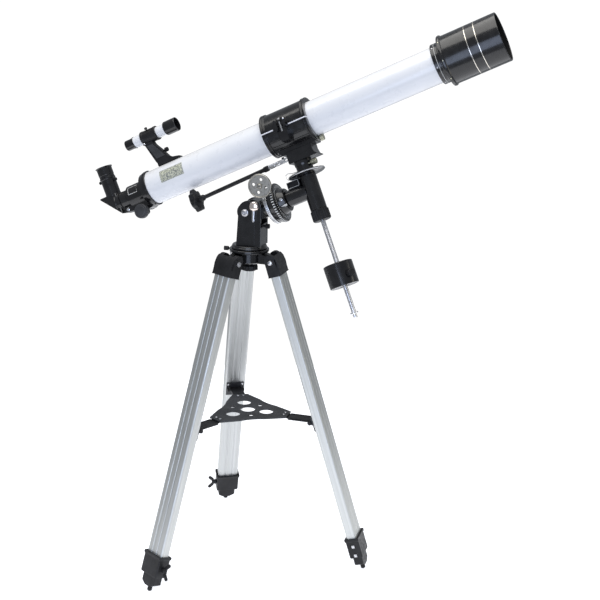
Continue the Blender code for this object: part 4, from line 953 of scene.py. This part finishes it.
def half_ring(name, start, stop, node, body, extras=()):
    section = [(LINING, -0.0540), (RIM, -0.0540), (RIM, -0.0505), (BODY + 0.0006, -0.0500),
               (BODY + 0.0006, -0.0480), (RIM, -0.0475), (RIM, -0.0452), (BODY, -0.0440), (BODY, 0.0440),
               (RIM, 0.0452), (RIM, 0.0475), (BODY + 0.0006, 0.0480), (BODY + 0.0006, 0.0500), (RIM, 0.0505),
               (RIM, 0.0540), (LINING, 0.0540)]
    bm = swept(section, start, stop, 64)
    bm.transform(Matrix.Translation((0, 0, TUBE_UP)) @ ALONG_X)
    bmesh.ops.recalc_face_normals(bm, faces=bm.faces)
    for outline, low, high in extras:
        slab(outline, low, high, None, bm)
    return piece(name, bm, HOUR, black_enamel, body, node, ease=0.0008)


# Pale paint for a painted highlight: the lit tube seen through the split between the cradle halves.
split_painted_highlight = pale_paint_finish("split_painted_highlight", (0.86, 0.87, 0.92))
base = ([(-0.0400, -0.0195), (0.0480, -0.0195), (0.0480, 0.0195), (-0.0400, 0.0195)], 0.0928, 0.1010)
lug_front = ([(-0.0100, -0.0625), (0.0090, -0.0625), (0.0090, -0.0300), (-0.0100, -0.0300)], 0.1080, 0.1300)
lug = ([(-0.0150, -0.0562), (-0.0060, -0.0562), (-0.0060, -0.0450), (-0.0150, -0.0450)], 0.1150, 0.1405)
lug_other = ([(-0.0010, -0.0562), (0.0080, -0.0562), (0.0080, -0.0450), (-0.0010, -0.0450)], 0.1150, 0.1405)
web = ([(-0.0150, -0.0505), (0.0080, -0.0505), (0.0080, -0.0440), (-0.0150, -0.0440)], 0.1150, 0.1405)
ears = [([(x - 0.0060, 0.0460), (x + 0.0060, 0.0460), (x + 0.0060, 0.0535), (x - 0.0060, 0.0535)], 0.1300,
         0.1412) for x in (-0.0330, 0.0330)]
half_ring("cradle_lower_half", 182.2, 357.8, "cradle_lower", "telescope", [base, lug, lug_other, web,
    lug_front] + ears)
upper_ears = [(outline, 0.1446, 0.1560) for outline, low, high in ears]
upper_lug = [([(-0.0110, -0.0562), (-0.0055, -0.0562), (-0.0055, -0.0448), (-0.0110, -0.0448)], 0.1455,
              0.1530), ([(-0.0015, -0.0562), (0.0040, -0.0562), (0.0040, -0.0448), (-0.0015, -0.0448)],
                        0.1455, 0.1530), ([(-0.0110, -0.0520), (0.0040, -0.0520), (0.0040, -0.0448),
                                           (-0.0110, -0.0448)], 0.1455, 0.1530)]
half_ring("cradle_upper_half", 2.2, 177.8, "cradle_upper", "cradle_upper", upper_ears + upper_lug)
bm = bmesh.new()
for angle in (212, 226, 314, 328):
    rib = arc(0, 0, BODY + 0.0012, angle - 1.6, angle + 1.6, 4)
    rib += arc(0, 0, BODY - 0.0004, angle + 1.6, angle - 1.6, 4)
    slab(rib, -0.0425, 0.0425, Matrix.Translation((0, 0, TUBE_UP)) @ ALONG_X, bm)
piece("cradle_ribs", bm, HOUR, black_enamel, "telescope", ease=0.0004)


# A pale strip laid in the split between the two halves: a painted highlight in place of the lit tube seen
# through the gap.
bm = bmesh.new()
for low, high in ((-0.0538, -0.0200), (0.0120, 0.0538)):
    bar(low, high, TUBE_UP - 0.0010, TUBE_UP + 0.0010, 0.0386, 0.0493, UPRIGHT, bm)
piece("cradle_split_painted_highlight", bm, HOUR, split_painted_highlight, "telescope", ease=0)
bm = slab([(-0.0190, 0.1340), (-0.0100, 0.1340), (-0.0090, 0.1400), (-0.0095, 0.1480), (-0.0095, 0.1560),
           (-0.0120, 0.1590), (-0.0160, 0.1570), (-0.0170, 0.1500), (-0.0200, 0.1440), (-0.0205, 0.1380)],
          0.0602, 0.0630, UPRIGHT)
slab([(0.0045, 0.1380), (0.0090, 0.1380), (0.0110, 0.1450), (0.0125, 0.1530), (0.0100, 0.1580),
      (0.0050, 0.1590), (0.0045, 0.1520), (0.0045, 0.1470)], 0.0602, 0.0630, UPRIGHT, bm)
bar(-0.0165, 0.0105, 0.1465, 0.1520, 0.0440, 0.0500, UPRIGHT, bm)
for low, high in ((-0.0165, -0.0110), (0.0040, 0.0105)):
    bar(low, high, 0.1465, 0.1520, 0.0480, 0.0606, UPRIGHT, bm)
piece("cradle_latch", bm, HOUR, moulded_black, "cradle_upper", ease=0.0006)
bm = turned([(0, 0.0628), (0.0020, 0.0628), (0.0018, 0.0640), (0.0008, 0.0646), (0, 0.0646)], 24,
            Matrix.Translation((0.0095, 0, 0.1545)) @ Matrix.Rotation(pi / 2, 4, "X"))
piece("cradle_latch_screw", bm, HOUR, chrome, "cradle_upper", ease=0)


# ---------------------------------------------------------------- cradle clamp
# A plated eye bolt swings into the slotted lugs and a small black nut with two wings pulls the halves
# together.
CLAMP = at_joint("cradle_knob_turn") @ HOUR.to_3x3().to_4x4() @ \
    Matrix.Translation((0, 0, -0.150))
bm = turned([(0, 0.1225), (0.0024, 0.1225), (0.0024, 0.1605), (0.0018, 0.1612), (0, 0.1612)], 32)
piece("cradle_eye_bolt", bm, CLAMP, chrome, "cradle_knob", "cradle_knob", ease=0.0002)
bm = turned([(0.0020, 0.1534), (0.0050, 0.1534), (0.0052, 0.1542), (0.0050, 0.1566), (0.0036, 0.1574),
             (0.0020, 0.1574)], 40)
for side in (-1, 1):
    slab([(side * 0.0046, 0.1538), (side * 0.0062, 0.1560), (side * 0.0066, 0.1610), (side * 0.0058, 0.1624),
          (side * 0.0046, 0.1600), (side * 0.0034, 0.1566)], -0.0013, 0.0013, UPRIGHT, bm)
piece("cradle_wing_nut", bm, CLAMP, moulded_black, "cradle_knob", ease=0.0003)
bm = bmesh.new()
for x in (-0.0330, 0.0330):
    turned([(0, -0.0072), (0.0030, -0.0072), (0.0034, -0.0066), (0.0034, 0.0066), (0.0030, 0.0072),
            (0, 0.0072)], 32, Matrix.Translation((x, 0.0530, TUBE_UP)) @ ALONG_X, bm)
piece("cradle_hinge_pins", bm, HOUR, zinc, "telescope", ease=0)


# ---------------------------------------------------------------- optical tube
# Rolled aluminium tube, white enamel outside and matt black inside.  The enamel has the slight ripple of a
# sprayed coat.
TUBE = HOUR @ Matrix.Translation((0, 0, TUBE_UP)) @ ALONG_X
REAR, FRONT = -0.3660, 0.3540


def white_enamel_finish():
    material, tree, shader, coords = finish("white_enamel", "white_enamel", (0.80, 0.81, 0.83), 0.0, 0.30,
                                            0.5)
    shader.inputs["Coat Weight"].default_value = 0.5
    shader.inputs["Coat Roughness"].default_value = 0.08
    shades(tree, grain(tree, coords, 9), shader.inputs["Base Color"], (0.735, 0.745, 0.775),
           (0.785, 0.79, 0.81))
    shades(tree, grain(tree, coords, 60), shader.inputs["Roughness"], 0.26, 0.36)
    relief(tree, grain(tree, coords, 480, 2), shader, 0.06, 0.0002)
    return material


def matt_black_finish():
    material, tree, shader, coords = finish("matt_black", "black_plastic", (0.008, 0.008, 0.008), 0.0, 0.85,
                                            0.2)
    shades(tree, grain(tree, coords, 60), shader.inputs["Base Color"], (0.006, 0.006, 0.006),
           (0.012, 0.012, 0.012))
    relief(tree, grain(tree, coords, 1200, 2), shader, 0.3, 0.0002)
    return material


white_enamel = white_enamel_finish()
matt_black = matt_black_finish()
bm = turned([(TUBE_RADIUS, REAR), (TUBE_RADIUS, FRONT), (TUBE_RADIUS - 0.0006, FRONT),
             (TUBE_RADIUS - 0.0006, REAR)], 160)
piece("tube_skin", bm, TUBE, white_enamel, "telescope", "main_tube", ease=0)
bm = turned([(TUBE_RADIUS - 0.0006, REAR), (TUBE_RADIUS - 0.0006, FRONT), (TUBE_RADIUS - 0.0012, FRONT),
             (TUBE_RADIUS - 0.0012, REAR)], 96)
piece("tube_lining", bm, TUBE, matt_black, "telescope", ease=0)
bm = bmesh.new()
for place, aperture in ((-0.120, 0.024), (0.110, 0.029)):
    turned([(aperture, place), (0.0372, place), (0.0372, place + 0.001), (aperture, place + 0.001)], 72,
           None, bm)
piece("tube_baffles", bm, TUBE, matt_black, "telescope", ease=0)


# ---------------------------------------------------------------- tube plate
# A thin foil plate stuck to the near side of the tube: pale, with a fine border and no lettering.
plate_paint = pale_paint_finish("foil_plate", (0.50, 0.50, 0.42), 0.42)
plate_tree = plate_paint.node_tree
plate_shader = plate_tree.nodes["Principled BSDF"]
plate_coords = plate_tree.nodes["Texture Coordinate"].outputs["Object"]
shades(plate_tree, grain(plate_tree, plate_coords, 330, 4), plate_shader.inputs["Base Color"],
       (0.17, 0.18, 0.16), (0.58, 0.59, 0.46), 0.40, 0.60)
plate_line = pale_paint_finish("foil_plate_line", (0.30, 0.31, 0.36), 0.5)


def patch(low, high, start, stop, proud, thick, material, name):
    """A thin sheet bent round the tube between two places along it and two angles."""
    inner, outer = TUBE_RADIUS + proud, TUBE_RADIUS + proud + thick
    bm = swept([(inner, low), (outer, low), (outer, high), (inner, high)], start, stop, 10)
    return piece(name, bm, TUBE, material, "telescope", ease=0)


patch(-0.320, -0.260, 148, 190, 0.00002, 0.00012, plate_paint, "tube_plate")
PLATE_LINES = [(-0.3185, -0.3178, 150, 188), (-0.2622, -0.2615, 150, 188), (-0.3185, -0.2615, 149.4, 150.3),
               (-0.3185, -0.2615, 187.7, 188.6)]
PLATE_LINES += [(-0.3120, -0.2680, angle, angle + 0.8) for angle in (166, 173, 180)]
for number, (low, high, start, stop) in enumerate(PLATE_LINES, 1):
    patch(low, high, start, stop, 0.00014, 0.00008, plate_line, "tube_plate_line_%d" % number)


# ---------------------------------------------------------------- objective cell
# The turned ring that holds the lens on the tube's end: a narrow collar, a stepped ring with small
# screws round it and a white-filled line.
bm = turned([(0.0387, 0.3460), (0.0425, 0.3460), (0.0433, 0.3470), (0.0433, 0.3600), (0.0440, 0.3610),
             (0.0440, 0.3715), (0.0432, 0.3725), (0.0350, 0.3725), (0.0350, 0.3543), (0.0387, 0.3543)], 160)
piece("lens_cell", bm, TUBE, black_enamel, "telescope", "objective_cell", ease=0.0003)
bm = turned([(0.0432, 0.3540), (0.04345, 0.3540), (0.04345, 0.3548), (0.0432, 0.3548)], 160)
piece("lens_cell_line", bm, TUBE, scale_paint, "telescope", ease=0)
bm = bmesh.new()
for i in range(6):
    turned([(0, 0.0430), (0.0016, 0.0430), (0.0016, 0.0437), (0.0012, 0.0440), (0, 0.0440)], 20,
           Matrix.Rotation(radians(60 * i + 20), 4, "Z") @ Matrix.Translation((0, 0, 0.3505)) @ ALONG_X, bm)
piece("lens_cell_screws", bm, TUBE, zinc, "telescope", ease=0)


# ---------------------------------------------------------------- objective lens
# The front lens, slightly domed and blue-green from its coating.
def coated_glass_finish():
    material, tree, shader, coords = finish("coated_glass", "coated_glass", (0.75, 0.86, 0.84), 0.0, 0.02)
    shader.inputs["Transmission Weight"].default_value = 0.9
    shader.inputs["IOR"].default_value = 1.52
    shader.inputs["Thin Film Thickness"].default_value = 380.0
    shader.inputs["Thin Film IOR"].default_value = 1.38
    shades(tree, grain(tree, coords, 30), shader.inputs["Roughness"], 0.01, 0.03)
    return material


coated_glass = coated_glass_finish()
rear = [(0.0346 * i / 8, 0.3560 + 0.0030 * (i / 8) ** 2) for i in range(9)]
front = [(0.0346 * i / 8, 0.3715 - 0.0045 * (i / 8) ** 2) for i in range(8, -1, -1)]
piece("front_lens", turned(rear + front, 96), TUBE, coated_glass, "telescope", "objective_lens", ease=0)


# ---------------------------------------------------------------- dew shield
# A turned hood over the lens in gloss black, with a stepped collar behind, two inlaid silver lines and
# a matt black inside.
bm = turned([(0.0443, 0.3640), (0.0530, 0.3640), (0.0542, 0.3648), (0.0545, 0.3662), (0.0545, 0.3695),
             (0.0536, 0.3710), (0.0520, 0.3722), (0.0520, 0.4236), (0.0517, 0.4238), (0.0517, 0.4246),
             (0.0520, 0.4248), (0.0520, 0.4442), (0.0517, 0.4444), (0.0517, 0.4452), (0.0520, 0.4454),
             (0.0520, 0.4893), (0.0512, 0.4905), (0.0500, 0.4905), (0.0494, 0.4893), (0.0494, 0.3770),
             (0.0443, 0.3765)], 192)
piece("dew_hood", bm, TUBE, black_enamel, "telescope", "dew_shield", ease=0)
silver_line = bright_plate_finish("silver_line", (0.80, 0.76, 0.68), 0.25)
bm = bmesh.new()
for middle in (0.4242, 0.4448):
    turned([(0.0514, middle - 0.0006), (0.05212, middle - 0.0006), (0.05212, middle + 0.0006),
            (0.0514, middle + 0.0006)], 192, None, bm)
piece("dew_hood_lines", bm, TUBE, silver_line, "telescope", ease=0)
bm = turned([(0.0494, 0.3772), (0.0494, 0.4885), (0.0490, 0.4885), (0.0490, 0.3772)], 96)
piece("dew_hood_lining", bm, TUBE, matt_black, "telescope", ease=0)
bm = bmesh.new()
for i in range(8):
    turned([(0, 0.0540), (0.0014, 0.0540), (0.0014, 0.0549), (0.0009, 0.0552), (0, 0.0552)], 20,
           Matrix.Rotation(radians(45 * i + 10), 4, "Z") @ Matrix.Translation((0, 0, 0.3678)) @ ALONG_X, bm)
piece("hood_collar_screws", bm, TUBE, olive_plate, "telescope", ease=0)


# ---------------------------------------------------------------- focuser
# The cast tail piece of the tube: a flange with three screws, a barrel, and the housing of the rack and
# pinion under it.
knob_spot = HOUR.inverted() @ Vector(joint["focus_knobs_turn"]["pos_m"])
RACK_S, RACK_Q = knob_spot.x, knob_spot.z
bm = turned([(0.0388, -0.3595), (0.0408, -0.3595), (0.0415, -0.3603), (0.0415, -0.3665), (0.0408, -0.3685),
             (0.0385, -0.3775), (0.0290, -0.3800), (0.0260, -0.3815), (0.0258, -0.4212), (0.0250, -0.4222),
             (0.0205, -0.4225), (0.0205, -0.4438), (0.0198, -0.4445), (0.0170, -0.4445), (0.0170, -0.3700),
             (0.0365, -0.3690), (0.0365, -0.3663), (0.0388, -0.3663)], 128)
piece("focuser_casting", bm, TUBE, black_enamel, "telescope", "focuser_body", ease=0.0003)
wedge = [(-0.4438, -0.0190), (-0.4438, -0.0302), (-0.4265, -0.0330), (-0.3860, -0.0433), (-0.3740, -0.0424),
         (-0.3700, -0.0395), (-0.3700, -0.0300), (-0.3800, -0.0190)]
bm = slab(wedge, -0.0120, 0.0120, Matrix.Translation((0, 0, TUBE_UP)) @ UPRIGHT)
turned([(0.0030, -0.0160), (0.0060, -0.0160), (0.0068, -0.0152), (0.0068, -0.0060), (0.0030, -0.0060)], 48,
       Matrix.Translation((RACK_S, 0, RACK_Q)) @ ALONG_Y, bm)
piece("pinion_housing", bm, HOUR, black_enamel, "telescope", ease=0.0010)
bm = bmesh.new()
for angle in (120, 180, 240, 0, 60, 300):
    turned([(0, 0.0402), (0.0022, 0.0402), (0.0022, 0.0421), (0.0016, 0.0427), (0, 0.0428)], 24,
           Matrix.Rotation(radians(angle + 12), 4, "Z") @ Matrix.Translation((0, 0, -0.3635)) @ ALONG_X, bm)
piece("flange_screws", bm, TUBE, moulded_black, "telescope", ease=0)
bm = bmesh.new()
turned([(0, 0.0), (0.0040, 0.0), (0.0038, 0.0014), (0.0026, 0.0020), (0, 0.0021)], 28,
       Matrix.Translation((RACK_S - 0.0425, -0.0120, RACK_Q + 0.0205)) @ Matrix.Rotation(radians(90), 4,
    "X"), bm)
piece("housing_screw", bm, HOUR, chrome, "telescope", ease=0)
line_white = pale_paint_finish("line_white", (0.70, 0.70, 0.68))
# Pale grey paint for the line along the diagonal's seam: a painted highlight on its edge.
seam_painted_highlight = pale_paint_finish("seam_painted_highlight", (0.34, 0.34, 0.32))
BADGE_R = 0.0258


def badge_strip(low, high, start, stop, bm):
    inner, outer = BADGE_R - 0.0002, BADGE_R + 0.00015
    section = [(inner, low), (outer, low), (outer, high), (inner, high)]
    gathered(swept(section, start, stop, max(1, int((stop - start) / 5))), None, bm)


bm = bmesh.new()
for low, high, start, stop in ((-0.4155, -0.4145, 137, 177), (-0.3925, -0.3915, 137, 177),
                               (-0.4155, -0.3915, 136, 138.2), (-0.4155, -0.3915, 175.8, 178)):
    badge_strip(low, high, start, stop, bm)
piece("focuser_badge_line", bm, TUBE, line_white, "telescope", ease=0)


# ---------------------------------------------------------------- focusing knob
# A moulded, finely ribbed knob on the pinion's shaft.
FOCUS = HOUR @ Matrix.Translation((RACK_S, 0, RACK_Q)) @ ALONG_Y
bm = slab(ribbed(0.0168, 0.0006, 48, 4), -0.0388, -0.0290)
turned([(0, -0.0410), (0.0100, -0.0410), (0.0118, -0.0404), (0.0122, -0.0398), (0.0150, -0.0400),
        (0.0160, -0.0388), (0.0160, -0.0290), (0.0148, -0.0276), (0.0072, -0.0270), (0.0058, -0.0168),
        (0.0028, -0.0165), (0.0028, -0.0095), (0, -0.0095)], 80, None, bm)
piece("focus_knob", bm, FOCUS, textured_black, "focus_knobs", "focus_knobs", ease=0.0003)


# ---------------------------------------------------------------- drawtube
# A chromed brass tube that the pinion drives in and out of the focuser.
bm = turned([(0.0150, -0.4455), (0.0165, -0.4455), (0.0165, -0.2700), (0.0150, -0.2700)], 96)
piece("draw_tube", bm, TUBE, chrome, "focuser_drawtube", "drawtube", ease=0.0003)


# ---------------------------------------------------------------- star diagonal
# A moulded prism housing on the drawtube that turns the light up through a right angle, with a narrow
# holder for the eyepiece and two thumb screws.
DIAGONAL = HOUR @ Matrix.Translation((0, 0, TUBE_UP)) @ Matrix.Rotation(radians(5.2), 4, "X")
HOLDER = Matrix.Translation((-0.4639, 0, 0))
bm = slab([(-0.4940, 0.0200), (-0.4925, 0.0222), (-0.4510, 0.0222), (-0.4497, 0.0205), (-0.4497, -0.0262),
           (-0.4508, -0.0288)], -0.0160, 0.0160, UPRIGHT)
for side in (-1, 1):
    low, high = sorted((side * 0.0155, side * 0.0165))
    slab([(-0.4905, 0.0188), (-0.4890, 0.0208), (-0.4532, 0.0208), (-0.4520, 0.0195), (-0.4520, -0.0245)],
         -high, -low, UPRIGHT, bm)
turned([(0, -0.4600), (0.0215, -0.4600), (0.0215, -0.4570), (0.0206, -0.4562), (0.0206, -0.4548),
        (0.0215, -0.4540), (0.0215, -0.4455), (0.0147, -0.4455), (0.0147, -0.4250), (0, -0.4250)], 96,
       ALONG_X, bm)
turned([(0, 0.0180), (0.0181, 0.0180), (0.0181, 0.0232), (0.0176, 0.0240), (0.0176, 0.0590),
        (0.0187, 0.0597), (0.0187, 0.0640), (0, 0.0640)], 96, HOLDER, bm)
piece("diagonal_housing", bm, DIAGONAL, black_enamel, "star_diagonal", "diagonal", ease=0.0006)
# A thin strip on the seam at the diagonal's front edge. The seam is real; its pale grey colour is a painted
# highlight.
bm = slab([(-0.4512, -0.0270), (-0.4504, -0.0262), (-0.4504, 0.0214), (-0.4512, 0.0218)], -0.0168, 0.0168,
          UPRIGHT)
piece("diagonal_highlight_on_seam", bm, DIAGONAL, seam_painted_highlight, "star_diagonal", ease=0.0002)
bm = bmesh.new()
for angle, z in ((180, 0.0584), (-12, 0.0530)):
    spot = HOLDER @ Matrix.Translation((0, 0, z)) @ Matrix.Rotation(radians(angle), 4, "Z") @ ALONG_X
    turned([(0, 0.0170), (0.0018, 0.0170), (0.0018, 0.0196), (0.0032, 0.0198), (0.0036, 0.0204),
            (0.0036, 0.0236), (0.0030, 0.0242), (0, 0.0242)], 28, spot, bm)
piece("diagonal_thumb_screws", bm, DIAGONAL, moulded_black, "star_diagonal", ease=0.0003)


# ---------------------------------------------------------------- eyepiece
# A turned black eyepiece with a fine ribbed grip, a thin lip on top and a small glass eye lens.
bm = slab(ribbed(0.0176, 0.0004, 44, 4), 0.0646, 0.0690, HOLDER)
turned([(0, 0.0300), (0.0128, 0.0300), (0.0128, 0.0643), (0.0172, 0.0643), (0.0172, 0.0692),
        (0.0180, 0.0700), (0.0180, 0.0868), (0.0198, 0.0878), (0.0201, 0.0893), (0.0165, 0.0893),
        (0.0150, 0.0878), (0.0080, 0.0862), (0, 0.0858)], 96, HOLDER, bm)
piece("eyepiece_body", bm, DIAGONAL, black_enamel, "star_diagonal", "eyepiece", ease=0.0003)
bm = turned([(0.0080 * i / 6, 0.0872 - 0.0008 * (i / 6) ** 2) for i in range(7)] + [(0.0080, 0.0855),
    (0, 0.0852)], 64, HOLDER)
piece("eyepiece_glass", bm, DIAGONAL, coated_glass, "star_diagonal", ease=0)


# ---------------------------------------------------------------- finder bracket
# A moulded ring on a slanting stem whose foot is screwed to the tube; two small screws set the finder's
# aim.
FINDER_UP = 0.1145
BRACKET = HOUR @ Matrix.Translation((0, 0, TUBE_UP))
FINDER = BRACKET @ Matrix.Translation((0, 0, FINDER_UP)) @ ALONG_X
bm = turned([(0.0135, -0.3490), (0.0155, -0.3490), (0.0165, -0.3478), (0.0165, -0.3430), (0.0160, -0.3425),
             (0.0160, -0.3140), (0.0165, -0.3135), (0.0165, -0.3087), (0.0155, -0.3075), (0.0135, -0.3075)],
            96, Matrix.Translation((0, 0, FINDER_UP)) @ ALONG_X)
stem = [(-0.3470, 0.1003), (-0.3250, 0.1003), (-0.3225, 0.0924), (-0.3112, 0.0756), (-0.2985, 0.0540),
        (-0.2880, 0.0475), (-0.2710, 0.0437), (-0.2710, 0.0415), (-0.3020, 0.0389), (-0.3290, 0.0389),
        (-0.3290, 0.0470), (-0.3310, 0.0500)]
slab(stem, -0.0085, 0.0085, UPRIGHT, bm)
piece("finder_mount", bm, BRACKET, moulded_black, "telescope", "finder_bracket", ease=0.0010)
bm = bmesh.new()
for side in (-1, 1):
    low, high = sorted((side * 0.0084, side * 0.0090))
    slab([(-0.3420, 0.0930), (-0.3265, 0.0930), (-0.3130, 0.0720), (-0.3040, 0.0570), (-0.3270, 0.0570)],
         -high, -low, UPRIGHT, bm)
piece("finder_mount_panel", bm, BRACKET, textured_black, "telescope", ease=0.0003)
for angle, place, paint in ((125, -0.3285, "black"), (235, -0.3435, "chrome")):
    bm = turned([(0, 0.0160), (0.0017, 0.0160), (0.0017, 0.0185), (0.0034, 0.0187), (0.0036, 0.0194),
                 (0.0036, 0.0216), (0.0030, 0.0222), (0, 0.0222)], 28, Matrix.Translation((0, 0, FINDER_UP))
                @ ALONG_X @ Matrix.Rotation(radians(angle), 4, "Z") @ Matrix.Translation((0, 0, place))
                @ ALONG_X)
    piece("finder_aim_screw_" + paint, bm, BRACKET, chrome if paint == "chrome" else moulded_black,
          "telescope", ease=0.0002)


# ---------------------------------------------------------------- finder
# A miniature white tube with a black flared eye end and a black hood with a lighter rim at the front.
bm = turned([(0.0110, -0.3740), (0.0128, -0.3735), (0.0130, -0.3690), (0.0130, -0.2868), (0.0110, -0.2865)],
            96)
piece("finder_barrel", bm, FINDER, white_enamel, "telescope", "finder_tube", ease=0)
bm = turned([(0.0070, -0.3900), (0.0100, -0.3930), (0.0118, -0.3926), (0.0123, -0.3912), (0.0122, -0.3800),
             (0.0126, -0.3740), (0.0137, -0.3716), (0.0138, -0.3700), (0.0132, -0.3690), (0.0120, -0.3690),
             (0.0120, -0.3870), (0.0070, -0.3872)], 96)
piece("finder_eye_end", bm, FINDER, black_enamel, "telescope", ease=0.0002)
bm = turned([(0.0128, -0.2870), (0.0140, -0.2868), (0.0154, -0.2856), (0.0160, -0.2842), (0.0160, -0.2570),
             (0.0157, -0.2560), (0.0144, -0.2560), (0.0144, -0.2700), (0.0128, -0.2710)], 96)
piece("finder_hood", bm, FINDER, black_enamel, "telescope", ease=0.0002)
bm = turned([(0.0144, -0.2566), (0.0158, -0.2566), (0.0158, -0.2556), (0.0152, -0.2550), (0.0144, -0.2552)],
            96)
piece("finder_hood_rim", bm, FINDER, textured_black, "telescope", ease=0)
lens = [(0.0132 * i / 6, -0.2695 - 0.0016 * (i / 6) ** 2) for i in range(7)]
piece("finder_glass", turned(lens + [(0.0132, -0.2730), (0, -0.2730)], 64), FINDER, coated_glass,
      "telescope", ease=0)
piece("finder_eye_glass", turned([(0, -0.3884), (0.0069, -0.3884), (0.0069, -0.3876), (0, -0.3876)], 48),
      FINDER, coated_glass, "telescope", ease=0)
AIM = at_joint("finder_screw_turn") @ HOUR.to_3x3().to_4x4() @ \
    Matrix.Translation((0.300, 0, 0)) @ ALONG_X
bm = slab(ribbed(0.0051, 0.0005, 16), -0.3030, -0.2970)
turned([(0, -0.3145), (0.0020, -0.3145), (0.0020, -0.3042), (0.0046, -0.3040), (0.0046, -0.2962),
        (0, -0.2960)], 32, bm=bm)
piece("finder_thumb_screw", bm, AIM, moulded_black, "finder_screw", "finder_screw", ease=0.0002)
